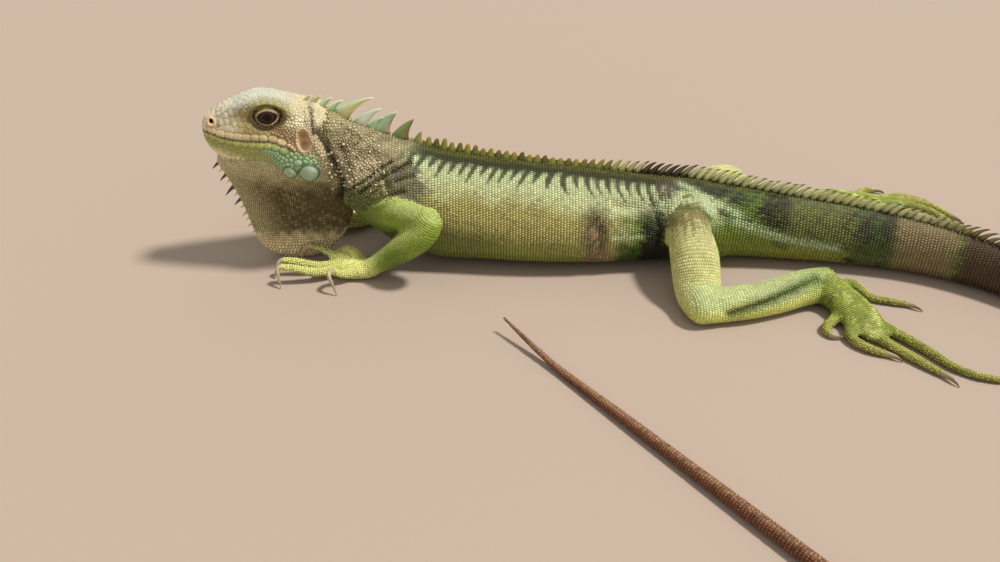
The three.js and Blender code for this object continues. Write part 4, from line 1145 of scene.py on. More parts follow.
def rim_shades(seeds, pick, turn):
    """How dark each rim is: darkest fore and aft of keels and round the jaw's scales, faint on the crown."""
    shade = STYLE_RIM_SHADE[seeds.style[pick].astype(int)]
    head = seeds.chart[pick] == CHART["head"]
    h, across, z = head_place(seeds.place[pick])
    over = z - mouth_level(h)
    jaw = step(h + 0.6 * np.abs(across), 30, 50) * fade(z, 73, 79) * (over < -1)
    cheek = within(h, 36, 58, 5) * within(z, 72, 85, 2)
    shade = np.where(head, 0.84 - 0.38 * jaw - 0.30 * cheek, shade)
    shade = shade + (0.94 - shade) * seeds.smooth[pick] * (1 - jaw)
    keel = (seeds.style[pick] == KEELED)[:, None] * 0.34
    return shade[:, None] - keel * (np.cos(turn) ** 2 - 0.35)


def scale_block(seeds, pick, normal, view, around, lift):
    """Points of closed scales: a low rim, a shoulder and a peak, or rim and peak for the flat ones."""
    simple = around == SIMPLE
    around = 6 if simple else around
    rim, drop, turn = cell_rims([part[pick] for part in view], seeds.size[pick], around)
    style = seeds.style[pick].astype(int)
    at, n, e = seeds.place[pick], normal[pick], seeds.back[pick]
    c = unit(np.cross(n, e))
    smooth = seeds.smooth[pick]
    grown = np.clip(seeds.size[pick].mean(1) / 1.6, 0.55, 1.5)
    height = STYLE_HEIGHT[style] * lift * grown * (1 - 0.6 * smooth)
    keel = (style == KEELED)[:, None]
    cos, sin = np.cos(turn)[None], np.sin(turn)
    edge = rim * (np.where(style == PLATE, 0.975, 0.955) + 0.03 * smooth)[:, None]
    shoulder = STYLE_SHOULDER[style][:, None]
    ridge = np.where(keel, 0.45 + 0.55 * cos ** 2 + 0.22 * cos, 1.0)
    rise = height[:, None] * STYLE_SIDE[style][:, None] * ridge
    sink = (-0.10 + np.where(keel, 0.10 * np.maximum(cos, 0), 0)) * (1 - 0.7 * smooth)[:, None]

    def ring(reach, level):
        flat = e[:, None] * (reach * cos)[..., None] + c[:, None] * (reach * sin)[..., None]
        return at[:, None] + flat + n[:, None] * level[..., None]

    swept = np.where(style == KEELED, 0.18, 0.0) * seeds.size[pick, 0]
    peak = at + n * height[:, None] + e * swept[:, None]
    rings = [ring(edge, drop + sink)]
    if not simple:
        rings.append(ring(edge * shoulder, drop * shoulder ** 2 + rise))
    block = np.concatenate([*rings, peak[:, None]], 1)
    block[..., 2] = np.maximum(block[..., 2], 0.0)
    return block, turn


def scale_shell(around, levels):
    """Triangles of one scale with its rings, peak and flat underside."""
    i = np.arange(around)
    j = (i + 1) % around
    top = (levels - 1) * around
    wall = np.concatenate([np.stack([i, j, j + around], 1), np.stack([i, j + around, i + around], 1)])
    cap = np.stack([i + top, j + top, np.full(around, levels * around)], 1)
    underside = np.stack([np.zeros(around - 2, int), i[2:], i[1:-1]], 1)
    return np.concatenate([*[wall] * (levels - 1), cap, underside])


UV_GAP = 0.01  # between the charts of a piece's unwrap
UV_SCALE = 0.0015  # half width of one scale on it


def scale_tones(block, seeds, pick, normal, levels, turn):
    """Markings at every point of the scales, darker at the rims."""
    size = block.shape[1]
    owner = np.repeat(pick, size)
    spot = seeds.spot[owner].copy()
    spot[:, 0] += np.sum((block - seeds.place[pick][:, None]) * seeds.back[pick][:, None], -1).ravel()
    tone = markings(block.reshape(-1, 3), normal[owner], seeds.chart[owner], spot)
    tone = blended(tone, SKIN["tubercle"], 0.85 * (seeds.style[owner] == CONE))
    inner = np.full((len(pick), (levels - 1) * len(turn)), 1.0)
    # Rims carry painted shade, and each peak is lifted 8 % by a painted highlight.
    shade = np.concatenate([rim_shades(seeds, pick, turn), inner, np.full((len(pick), 1), 1.08)], 1)
    return tone * (shade.ravel() * seeds.vary[owner])[:, None]


def build_scales(name, chosen, seeds, normal, view, lift, slot, material):
    """One coat piece: closed scales with as many corners as they need, joined in one mesh."""
    points, faces, colours, patches, offset = [], [], [], [], 0
    uv = unwrap(seeds, chosen)
    for corners in (6, 8, 12, SIMPLE):
        pick = np.flatnonzero(chosen & (seeds.corners == corners))
        if not len(pick):
            continue
        around, levels = (6, 1) if corners == SIMPLE else (corners, 2)
        block, turn = scale_block(seeds, pick, normal, view, corners, lift)
        size = levels * around + 1
        first = (np.arange(len(pick)) * size)[:, None, None]
        faces.append((scale_shell(around, levels)[None] + first + offset).reshape(-1, 3))
        points.append(block.reshape(-1, 3))
        offset += len(pick) * size
        colours.append(scale_tones(block, seeds, pick, normal, levels, turn))
        circle = np.stack([np.cos(turn), np.sin(turn)], -1)
        local = np.concatenate([*([circle, 0.6 * circle][:levels]), [[0, 0]]])
        patches.append((uv[pick][:, None] + UV_SCALE * local[None]).reshape(-1, 2))
    obj = mesh_object(name, np.concatenate(points), [np.concatenate(faces)])
    tint(obj, np.clip(np.concatenate(colours), 0, 1))
    patches = np.concatenate(patches)
    layer = obj.data.uv_layers.new(name="OFBake")
    index = rows_of(obj.data.loops, "vertex_index", 1, np.int32)[:, 0]
    layer.data.foreach_set("uv", patches[index].astype(np.float32).ravel())
    finish_piece(obj, slot, material)
    return obj


def unwrap(seeds, chosen):
    """Places of a piece's scales on an unwrap of the skin: its charts side by side in one square."""
    uv = np.zeros((len(seeds.place), 2))
    charts = np.unique(seeds.chart[chosen])
    extents = []
    for chart in charts:
        spot = seeds.spot[chosen & (seeds.chart == chart)]
        extents.append(np.ptp(spot, 0) + 2.0)
    tall = np.array([e[1] for e in extents])
    share = tall / tall.sum() * (0.98 - UV_GAP * len(charts))
    base = UV_GAP
    for chart, part in zip(charts, share):
        mine = chosen & (seeds.chart == chart)
        spot = seeds.spot[mine]
        low, high = spot.min(0), spot.max(0)
        place = (spot - low) / np.maximum(high - low, 1e-6)
        uv[mine] = np.stack([UV_GAP + 0.98 * place[:, 0], base + (part - 0.004) * place[:, 1]], -1)
        base += part + UV_GAP
    return uv


# ---------------------------------------------------------------- markings


def rgb(code):
    """A linear colour from a six-figure code."""
    value = np.array([int(code[i:i + 2], 16) for i in (0, 2, 4)]) / 255
    return np.where(value <= 0.04045, value / 12.92, ((value + 0.055) / 1.055) ** 2.4)


def blended(under, over, mask):
    """One colour laid over another by a mask."""
    return under + (over - under) * np.clip(np.asarray(mask, float), 0, 1)[:, None]


class Paint:
    """Colours laid one over another on the same places."""

    def __init__(self, colour, count):
        self.tone = np.tile(SKIN[colour], (count, 1))

    def lay(self, colour, mask):
        """Lays a named colour, or one that is given, as strongly as the mask says."""
        self.tone = blended(self.tone, SKIN[colour] if isinstance(colour, str) else colour, mask)
        return self


# The animal's named colours.
SKIN = dict(
    crown="c0c0b0", crown_rear="c0b594", snout="d4c8a8", snout_band="7c745c", face="b0a06c",
    under_eye="a3925c", cream="e2cfa6", jaw="a0a460", jaw_mint="98bd8c", brow="8f8240", lid="b4a27c",
    temple="f2e8c4", cheek="a68460", ear="c9a97c", ear_rim="ddc49e", behind_jaw="c8bb94", chin="ece0b0",
    neck="b3a77e", tubercle="cfc49c", neck_dark="5e5434", shoulder="6c6550", chest="68743a", dewlap="6a5d36",
    dewlap_grey="d2c894", dewlap_pale="b5a67c", dewlap_low="f6e0ac", band="343804", band_top="757026",
    mint="d2d8a0", khaki="b8b068", belly="8f9840", green="7f9a3a", deep_green="3c5c08", blotch="5c4a38",
    blotch_pink="a5846c", hip_dark="181a10", streak="c6d6a4", arm="90a83a", arm_pale="bcc678", hand="f0f294",
    thigh="ccca86", thigh_top="6c5a34", shank="bcc688", groove="42581a", leg_low="e0e480", foot="94a03c",
    toe="b9b456", tail_green="6a8426", tail_low="acae4e", tail_band="2e1c0a", tail_dark="403c26",
    tail_teal="4c5a34", tail_grey="908058", tail_brown="5a452e", tail_rust="7a482b", tail_end="8d5a3a",
    tail_pale="b8946c", crest_green="7f9a58", crest_pale="dedc9c", crest_white="e2e8d2", crest_mint="a6cba4",
    crest_edge="b78a3c", crest_red="93583c", crest_base="3a4214", crest_rose="c99a80", crest_olive="8e9038",
    claw="a0926a", claw_dark="705e42", claw_pale="b5a184", iris="24120a", iris_light="4a2b14", pupil="050403",
    eye_rim="120b07", plate="93b594", plate_light="c9dcca", plate_dark="3e5a3e",
)
SKIN = {name: rgb(code) for name, code in SKIN.items()}


def patch(distance, down, at, size, rough):
    """A blotch with a rough edge, from 0 to 1."""
    return fade(np.hypot((distance - at[0]) / size[0], (down - at[1]) / size[1]) + rough, 0.7, 1.05)


# Pale streaks of flank, hip and tail: a line of the run and the way down, and its half width.
STREAKS = [
    ([(32, 43), (44, 41), (52, 39)], 1.0), ([(72, 6), (89, 13.5), (112, 20)], 2.1),
    ([(104, 23), (139, 27), (172, 27)], 2.1),
]
TEETH_PITCH = 5.9  # from one dark tooth of the back's band to the next
TAIL_RINGS = (292, 352, 408, 460)  # where the pale rings of the tail begin


def back_markings(run, down, place):
    """Colours of trunk and tail by the run along the back and the way down from the ridge."""
    patchy, fine, speck = noise(place, 26, 1), noise(place, 7, 2), noise(place, 2.6, 11)
    rough = 0.28 * fine + 0.3 * speck

    def spot(at, size, edge=1.0):
        return patch(run, down, at, size, edge * rough)

    count = len(run)
    paint = Paint("mint", count)
    rear = step(run, -30, 40)
    paint.lay("khaki", step(down + 4 * patchy, 20 + 8 * rear, 36 + 6 * rear) * fade(run, 20, 70))
    paint.lay("green", step(run + 5 * fine, 34, 52) * step(down, 24, 34))
    paint.lay("belly", step(down, 44, 58) * 0.85)
    # Deep green low on the belly towards the thigh: painted shade under the belly.
    paint.lay("deep_green", 0.95 * step(run, 32, 42) * step(down + 3 * fine, 38, 50))
    paint.lay("chest", 0.5 * step(down, 42, 54) * fade(run, -50, -15))
    paint.lay("blotch", 0.35 * step(speck + 0.5 * fine, 0.25, 0.8) * within(down, 20, 50, 8))
    tail = step(run + 4 * fine, 86, 108)
    paint.lay("tail_green", tail)
    paint.lay("tail_low", tail * step(down + 2 * fine, 24, 36))
    shadowed = step(speck + 0.5 * fine, -0.4, 0.5) * fade(down, 20, 28)
    paint.lay("band", 0.9 * tail * shadowed * fade(run, 200, 216))
    paint.lay("tail_grey", 0.35 * within(run, 142, 176, 10) * fade(down, 24, 32))
    paint.lay("green", 0.6 * tail * step(down, 24, 32) * fade(run + 5 * fine, 120, 150))
    speckled_tail = 0.5 + 0.5 * step(speck + 0.4 * fine, -0.4, 0.4)
    brown = within(run + 4 * speck + 3 * fine, 125, 138, 4) * fade(down + 4 * fine, 20, 27)
    paint.lay("tail_band", 0.95 * brown * (0.6 + 0.4 * step(speck + 0.4 * fine, -0.5, 0.3)))
    paint.lay("tail_band", 0.6 * speckled_tail * spot((138, 30), (7, 2.8)))
    dark = within(run + 4 * fine + 3 * speck, 178, 203, 5)
    paint.lay("tail_teal", 0.7 * dark)
    paint.lay("tail_dark", 0.9 * dark * step(0.3 + 0.7 * patchy + fine + 0.8 * speck, 0.0, 0.7))
    paint.lay("tail_grey", within(run + 2 * fine + 2 * speck, 204, 236, 4))
    paint.lay("tail_brown", step(run + 2 * fine + 2 * speck, 236, 243))
    for start in TAIL_RINGS:
        paint.lay("tail_grey", 0.55 * within(run + 3 * fine, start, start + 16, 7))
    paint.lay("tail_rust", step(run, 430, 560))
    paint.lay("tail_end", 0.6 * step(run, 640, 760))
    paint.lay("tail_pale", 0.6 * step(run, 600, 700) * fade(down, 0.6, 2.6))
    flecks = step(noise(place, 3.4, 7), 0.35, 0.7) * step(run, 560, 700)
    paint.lay("tail_band", 0.5 * flecks)

    nape = fade(run, -96, -72)
    depth = 11.5 - 0.8 * step(run, -60, 20) + 1.0 * fine
    along_back = fade(run, 92, 130)
    band = fade(down, depth, depth + 2) * along_back * (1 - 0.75 * nape)
    paint.lay("band", band)
    paint.lay("band_top", 0.55 * fade(down, 4, 7) * along_back * (1 - nape) * step(speck, -0.9, 0.3))
    bent = 0.045 * (down - 13) ** 2 * step(run, -20, 20)
    phase = (run - bent + 0.5 * down * fade(run, -20, 20)) / TEETH_PITCH
    reach = 19 + 2.5 * np.sin(np.floor(phase) * 2.4) + 1.5 * step(run, -30, 30)
    wave = np.sin(2 * math.pi * phase) - 0.9 * step(down, depth + 2, reach)
    teeth = step(wave, -0.25, 0.15) * within(down, depth - 1, reach, 1.5) * within(run, -86, 66, 8)
    paint.lay("streak", 0.5 * within(down, depth, reach + 2, 2) * within(run, -84, 66, 10))
    paint.lay("band", 0.92 * teeth)

    speckled = 0.55 + 0.45 * step(speck + 0.5 * fine, -0.5, 0.4)
    paint.lay("blotch", 0.9 * speckled * spot((24, 41), (9, 16)))
    paint.lay("blotch_pink", 0.7 * speckled * spot((27, 53), (9, 6)))
    paint.lay("blotch_pink", 0.9 * spot((23, 42), (3, 3)))
    # The two dark patches in front of the thigh are painted shade in the hip's fold; the same colour serves
    # real dark specks and spines.
    paint.lay("hip_dark", 0.95 * speckled * spot((60, 31), (12, 10)))
    paint.lay("hip_dark", 0.95 * spot((60, 45), (11, 14)))
    paint.lay("blotch", 0.9 * speckled * spot((66, 10), (7, 9)))
    paint.lay("streak", 0.6 * spot((75, 20), (10, 4.5)))
    paint.lay("deep_green", 0.8 * spot((80, 15.5), (6, 2.6), 0.6))
    specks = 0.75 * step(speck + fine, 0.0, 0.6)
    paint.lay("hip_dark", specks * within(run, 86, 110, 5) * within(down, 3, 12, 3))
    for line, width in STREAKS:
        away, share = line_distance(run, down, line)
        paint.lay("streak", 0.9 * bell(away + speck, 0, width) * within(share, 0.06, 0.94, 0.1))
    paint.lay("blotch", 0.8 * spot((89, 16), (4, 3)))

    neck = fade(run + 4 * patchy - 15 * fade(down, 16, 32), -104, -92)
    grey = step(fine + 0.6 * patchy + 0.5 * speck, -0.3, 0.7)
    coarse = Paint("neck", count).lay("neck_dark", 0.6 * grey)
    smooth = patch(place[:, 0], place[:, 2], (-108, 62), (13, 9), 0.2 * fine)
    coarse.lay("behind_jaw", 0.75 * smooth)
    low = fade(place[:, 2] + 4 * patchy + 3 * fine, 42, 60)
    coarse.lay("chest", low * (0.65 + 0.35 * step(speck, -0.6, 0.3)))
    paint.lay(coarse.tone, neck)
    return paint.lay("shoulder", 0.85 * patch(run, down, (-84, 30), (12, 13), 0.25 * fine)).tone


BROW_LINE = [(22, 95), (26, 98.5), (31, 101.4), (38, 102.8), (45, 101.6), (51, 98.4), (53, 94.4)]
SNOUT_BAND_PITCH = 3.6


def head_markings(place):
    """Colours of the head by its own measures."""
    h, across, z = head_place(place)
    out = np.abs(across)
    fine, speck = noise(place, 5, 4), noise(place, 2.4, 12)
    over = z - mouth_level(h)
    count = len(h)
    paint = Paint("face", count)
    paint.lay("temple", step(h + fine, 46, 54))
    paint.lay("under_eye", 0.8 * within(h, 20, 52, 6) * within(z, 84, 89.5, 2))
    paint.lay("cheek", 0.85 * within(h, 44, 56, 5) * within(over, -2, 8, 3))
    roof = np.interp(h, *ROOF)
    crown = Paint("crown", count).lay("crown_rear", step(h + 2 * fine, 44, 56))
    crown.lay("temple", 0.4 * step(speck + fine, 0.3, 0.9) * step(h, 40, 54))
    snout = fade(h, 19, 27)
    paint.lay("snout", snout * step(over, 3.2, 4.6))
    paint.lay(crown.tone, step(z - roof, -1.5, 1.5) * (0.3 + 0.7 * step(h + 2 * fine, 12, 28)))
    wave = np.sin(2 * math.pi * (h + 0.15 * (z - 92)) / SNOUT_BAND_PITCH)
    bands = step(wave, -0.3, 0.7) * within(h, 8, 22, 3)
    paint.lay("snout_band", 0.5 * bands * within(z, 90, 98, 2.5))
    arc, _ = line_distance(h, z, BROW_LINE)
    paint.lay("brow", 0.9 * bell(arc, 0, 2.2) * (out > 6) * step(speck, -1.2, 0.4))
    ring = lid_ring(h, z)
    paint.lay("brow", 0.6 * fade(ring, 1.8, 2.5) * (out > 5) * (z > EYE["z"] - 1))
    paint.lay("neck_dark", 0.55 * fade(ring, 1.7, 2.1) * (out > 5) * (z < EYE["z"]))
    paint.lay("lid", fade(ring, 1.12, 1.21) * (out > 5))
    paint.lay("neck_dark", 0.75 * bell(ring, 1.32, 0.1) * (out > 5) * (1 - 0.4 * (z > EYE["z"])))
    paint.lay(SKIN["lid"] * 0.85, 0.85 * within(ring, 1.50, 1.62, 0.06) * (out > 5) * (z < EYE["z"] + 1))
    paint.lay("neck_dark", 0.5 * bell(ring, 1.8, 0.08) * (out > 5) * (z < EYE["z"]))
    upper_lip = within(over, 0.1, 3.4, 0.6)
    paint.lay("cream", upper_lip * (1 - 0.5 * within(h, 28, 42, 4)) * (1 - 0.5 * step(h, 46, 54)))
    lower = fade(over, -0.3, 0.3)
    mint = step(h + fine * 4 + 0.3 * (74 - z), 30, 48)
    green = Paint("jaw", count).lay("jaw_mint", 0.85 * mint)
    green.lay("jaw_mint", 0.7 * patch(h, z, (41, 77), (7, 2.5), 0.3 * fine))
    paint.lay(green.tone, lower)
    below = fade(z + 0.9 * fine + 0.6 * speck + 0.34 * (h - 8), 71, 79)
    paint.lay("chin", lower * below * (1 - 0.6 * step(h, 38, 54)))
    paint.lay("dewlap_grey", 0.8 * lower * fade(z + fine, 58, 66))
    paint.lay("leg_low", bell(over, -1.3, 0.8) * fade(h, 42, 52) * (0.5 + 0.4 * step(h, 10, 20)))
    paint.lay("behind_jaw", step(h + 0.25 * (z - 66) + fine, 63, 67))
    drum = drum_ring(h, z)
    paint.lay("ear_rim", fade(drum, 1.2, 1.45) * (out > 8))
    paint.lay("ear", fade(drum, 0.85, 1.05) * (out > 8))
    # Two dark spots above and below the eardrum's middle: painted shade in its hollows.
    inner = np.hypot((h - EARDRUM["h"]) / 2.0, (np.abs(z - EARDRUM["z"]) - 2.1) / 1.7)
    paint.lay("blotch", 0.45 * fade(inner, 0.3, 1.4) * (drum < 0.9) * (out > 8))
    away = nostril_distance(h, z)
    paint.lay(SKIN["cream"] * [1.1, 0.9, 0.92], fade(away, 2.4, 3.4) * (out > 3))
    # The nostril's opening is painted near black: painted shade in the hole.
    paint.lay(SKIN["neck_dark"] * 0.12, fade(away, 0.9, 1.4) * (out > 3))
    # The dark line of the mouth is painted shade in its groove.
    away, _ = line_distance(h, z, MOUTH)
    return paint.lay(SKIN["neck_dark"] * 0.5, 0.85 * bell(away, 0, 0.45) * (out > 1)).tone


def dewlap_markings(place):
    """The colour of the dewlap: grey in front and above, speckled behind, pale at its foot."""
    front = fade(place[:, 0] + 0.25 * place[:, 2], -172, -148)
    paint = Paint("dewlap", len(place))
    paint.lay("dewlap_grey", 0.75 * np.maximum(front, step(place[:, 2] + 4 * noise(place, 12, 6), 44, 58)))
    paint.lay("dewlap_pale", 0.6 * step(noise(place, 2.6, 5) + 0.4 * noise(place, 8, 5), 0.0, 0.8))
    paint.lay("chin", 0.5 * step(place[:, 2] + 3 * noise(place, 8, 6), 50, 66))
    # The foot's own pale tan, brightened further as painted sunlight.
    return paint.lay("dewlap_low", fade(place[:, 2] + 3 * noise(place, 8, 6), 12, 21)).tone


def limb_markings(name, part, p, n, share):
    """The colour of one part of a limb, by its direction and by how far along the part each place lies."""
    hind = name.endswith("hind")
    up = step(n[:, 2], 0.0, 0.7)
    count = len(p)
    speck = noise(p, 2.6, 13)
    if part == "upper" and hind:
        paint = Paint("thigh", count).lay("leg_low", 0.4 * (1 - up))
        paint.lay("thigh_top", 0.8 * fade(share + 0.12 * speck, 0.3, 0.5) * step(up, 0.2, 0.8))
        paint.lay("streak", 0.85 * fade(share + 0.06 * speck, 0.13, 0.21))
        paint.lay("deep_green", 0.7 * bell(share + 0.02 * speck, 0.21, 0.03))
        # Deep green on the thigh's underside near the body: painted shade.
        paint.lay("deep_green", 0.7 * fade(share, 0.1, 0.4) * (1 - up))
    elif part == "lower" and hind:
        paint = Paint("leg_low", count).lay("shank", up)
        away, _ = line_distance(p[:, 0], p[:, 2], SHANK_GROOVE)
        outer = (n[:, 1] < -0.2) & (name == "left_hind")
        # The dark colour along the shank's groove is painted shade in the groove.
        paint.lay("groove", bell(away + 0.5 * speck, 0, 2.6) * outer)
        paint.lay("green", 0.6 * step(share, 0.65, 1.0))
    elif part == "upper":
        paint = Paint("arm", count).lay("arm_pale", 0.8 * up)
        paint.lay("chest", 0.7 * fade(share, 0.05, 0.4))
    elif part == "lower":
        paint = Paint("arm", count).lay("arm_pale", 0.6 * up)
        # Deep green on the forearm's underside: painted shade.
        paint.lay("deep_green", 0.45 * bell(share, 0.62, 0.2) * (1 - up))
        paint.lay("hand", step(share, 0.8, 1.0) * 0.8)
    else:
        paint = Paint("foot" if hind else "hand", count)
        if hind:
            paint.lay("hand", 0.6 * step(speck + noise(p, 8, 14), 0.3, 0.8) * up)
        if part != "palm":
            paint.lay("toe", 0.8 * step(share, 0.15, 0.5) if hind else 0.3 * up)
        paint.lay("groove", 0.45 * step(speck + 0.4 * noise(p, 8, 8), 0.35, 0.9) * (0.4 + 0.6 * hind))
    return paint.tone * (1 + 0.10 * noise(p, 16, 10))[:, None]


def markings(place, normal, chart, spot):
    """The colour of skin and scales at each place."""
    tone = np.zeros((len(place), 3))
    body = chart == CHART["body"]
    table = along(BODY, place[body, 0])
    down = np.hypot(place[body, 1] - table[:, 1], np.minimum(0, place[body, 2] - table[:, 2]))
    tone[body] = back_markings(place[body, 0], down, place[body])
    tail = chart == CHART["tail"]
    s = spot[tail, 0]
    middle, _, side = tail_frame(s)
    across = np.sum((place[tail] - middle) * side, 1)
    top = along(TAIL, s)[:, 2]
    down = np.hypot(across, np.minimum(0, place[tail, 2] - top))
    tone[tail] = back_markings(HIP_X + s, down, place[tail])
    tone[chart == CHART["head"]] = head_markings(place[chart == CHART["head"]])
    dewlap = chart == CHART["dewlap"]
    tone[dewlap] = dewlap_markings(place[dewlap])
    for name, (tubes, _) in LIMBS.items():
        for number, part in enumerate(LIMB_PARTS):
            mine = chart == LIMB_CHART[name] + number
            if mine.any():
                share = spot[mine, 0] / tubes[part].length
                tone[mine] = limb_markings(name, part, place[mine], normal[mine], share)
    # Painted shade in the folds of neck and shoulder darkens the colour.
    tone = tone * (1 - 0.5 * fold_shade(place))[:, None]
    return np.clip(tone, 0.004, 0.92)


def seed_frames(seeds, surface, triangles, normals):
    """Each scale's outward direction, with its backward direction laid in the skin."""
    hits = np.array([surface.find_nearest(Vector(p))[2] for p in seeds.place])
    normal = unit(normals[triangles[hits]].mean(1))
    seeds.back = unit(seeds.back - normal * np.sum(seeds.back * normal, 1)[:, None])
    return normal


def skin_tones(points, seeds, tones):
    """The skin's colours: what shows between the scales, and the bare places of the face."""
    tree = tree_of(seeds.place)
    near = np.array([[(j, d) for _, j, d in tree.find_n(p, 3)] for p in points])
    weight = 1 / (near[..., 1] + 0.3)
    index = near[..., 0].astype(int)
    tone = (tones[index] * weight[..., None]).sum(1) / weight.sum(1)[:, None]
    # The skin between the scales is darkened as painted shade in the gaps, less where the scales lie smooth.
    tone = tone * (0.5 + 0.36 * seeds.smooth[index[:, 0]])[:, None]
    h, across, z = head_place(points)
    ring = lid_ring(h, z)
    lids = (ring < 1.5) & (np.abs(across) > 6) & (h < 70) & (points[:, 2] > 60)
    bare = bare_places(points) | lids
    tone[bare] = head_markings(points[bare]) * 0.9
    return tone


# ---------------------------------------------------------------- crest, claws, eyes and plates


class Solids:
    """Closed shapes gathered into one mesh, with a colour for each point."""

    def __init__(self):
        self.points, self.colours, self.faces, self.size = [], [], [], 0

    def loft(self, rings, colours):
        """A closed loft of rings, turned outward; one colour for each ring or each point."""
        levels, around = rings.shape[:2]
        quads, start, end = loft_faces(levels, around)
        flat = rings.reshape(-1, 3)
        corner = flat[quads]
        outward = np.cross(corner[:, 2] - corner[:, 0], corner[:, 3] - corner[:, 1])
        if np.sum(outward * (corner.mean(1) - flat.mean(0))) < 0:
            quads, start, end = quads[:, ::-1], start[:, ::-1], end[:, ::-1]
        self.faces += [quads + self.size, start + self.size, end + self.size]
        self.points.append(flat)
        self.colours.append(np.broadcast_to(colours.reshape(levels, -1, 3), rings.shape).reshape(-1, 3))
        self.size += len(flat)

    def piece(self, name, slot, material, *nodes):
        obj = mesh_object(name, np.concatenate(self.points), self.faces)
        tint(obj, np.concatenate(self.colours))
        finish_piece(obj, slot, material, *nodes)
        return obj


def ridge_at(distance):
    """Place, direction and side of the ridge, over the trunk and then over the tail."""
    if distance <= HIP_X:
        row = along(BODY, distance)[0]
        return np.array([distance, row[1], row[2]]), np.array([1.0, 0, 0]), np.array([0, 1.0, 0])
    s = distance - HIP_X
    middle, ahead, side = (v[0] for v in tail_frame([s]))
    return middle + UP * along(TAIL, s)[0, 2], ahead, side


def spine_rings(root, ahead, side, length, base, thick, lean, hook, blunt=0.8):
    """A backswept spine: flattened, widest at its sunken root, curved to a thin tip."""
    levels, around = 9, 10
    t = np.linspace(0, 1, levels)[:, None]
    reach = ahead * math.sin(math.radians(lean)) + UP * math.cos(math.radians(lean))
    bow = ahead * math.cos(math.radians(lean)) - UP * math.sin(math.radians(lean))
    middle = root - UP * 1.8 + (reach * length + UP * 1.8) * t - bow * length * hook * (t - t * t)
    long = base * (1 - t) ** blunt * (1 - 0.12 * np.sin(math.pi * t)) + 0.45 * t ** 0.2
    wide = thick * (1 - t) ** 0.7 + 0.34
    turn = turns(around)
    slant = math.radians(lean * 0.35)
    lean_long = ahead * math.cos(slant) - UP * math.sin(slant)
    return (middle[:, None] + lean_long * (long / 2 * np.cos(turn))[..., None]
            + side * (wide / 2 * np.sin(turn) * (1 - 0.3 * np.cos(turn) ** 2))[..., None])


# Colours of each nape blade: body, edge, tip, and whether the edge is the front one.
BLADE_COLOURS = [
    ("neck", "cream", "cream", 0), ("neck", "behind_jaw", "cream", 0),
    ("crest_mint", "neck", "crest_white", 0), ("crest_mint", "crest_pale", "crest_white", 1),
    ("crest_pale", "crest_mint", "crest_white", 1), ("crest_white", "crest_mint", "crest_white", 1),
    ("crest_mint", "crest_pale", "crest_pale", 0), ("crest_mint", "crest_rose", "crest_pale", 0),
    ("crest_green", "crest_red", "crest_red", 0), ("crest_green", "crest_edge", "crest_edge", 0),
]


def crest_colours(number, distance, levels, around, c):
    """Colours over one spine, root to tip and front to rear edge."""
    t = np.linspace(0, 1, levels)[:, None, None]
    turn = turns(around)
    rear = np.clip(np.cos(turn), 0, 1)[None, :, None] ** 1.2
    front = np.clip(-np.cos(turn), 0, 1)[None, :, None] ** 1.2
    if number >= 0:
        *names, at_front = BLADE_COLOURS[number]
        body, edge, tip = (c[name] for name in names)
        tone = body + (edge - body) * np.clip((front if at_front else rear) * 0.9, 0, 1)
        veins = 0.10 * np.sin(7 * t + 6 * np.cos(turn)[None, :, None] + 3 * number)
        tone = tone + (tip - tone) * 0.8 * step(t, 0.78, 1.0)
        # Darker towards the root: painted shade where the blade meets the neck.
        return tone * (1 + (0.05 * math.sin(7 * number) + veins)) * (0.72 + 0.28 * step(t, 0.05, 0.3))
    hip, tail = step(distance, 24, 52), step(distance, 205, 250)
    ripple = 0.6 + 0.4 * math.sin(distance * 0.7)
    low = c["crest_olive"] + (c["crest_edge"] - c["crest_olive"]) * step(t, 0.4, 0.9) * ripple
    pale = low + (c["crest_pale"] - low) * hip
    pale = pale + (c["tail_grey"] - pale) * tail
    browned = np.maximum(tail, 0.9 * within(distance, 50, 76, 8))
    dark = c["crest_base"] + (c["tail_band"] - c["crest_base"]) * browned
    # The last term darkens the root: painted shade between the spines near the ridge.
    edges = (0.35 + 0.5 * hip) * (rear + 0.5 * front) + 0.8 * fade(t, 0.10, 0.34)
    edges = edges + 0.9 * hip * step(t, 0.72, 0.95)
    edges = edges + 0.75 * within(distance, 52, 74, 6) + 0.5 * (1 - hip) * max(0.0, math.sin(distance * 0.9))
    return pale + (dark - pale) * np.clip(edges + 0.12 * math.sin(distance * 1.9), 0, 1)


def dewlap_spine_rings(z, length):
    """One spine of the dewlap's edge, which hangs down and forward."""
    turn = turns(10)
    t = np.linspace(0, 1, 7)[:, None]
    x = along(DEWLAP, z)[0, 1] + 2 - (2 + 0.62 * length) * t
    middle = np.concatenate([x, dewlap_middle(x), z - 0.8 * length * t ** 1.4], 1)
    tall = (0.55 + 0.16 * length) * (1 - t) ** 0.7 * 2 + 0.3
    wide = 1.3 * (1 - t) ** 0.7 + 0.3
    return (middle[:, None] + UP * (tall / 2 * np.cos(turn))[..., None]
            + HEAD_SIDE * (wide / 2 * np.sin(turn))[..., None])


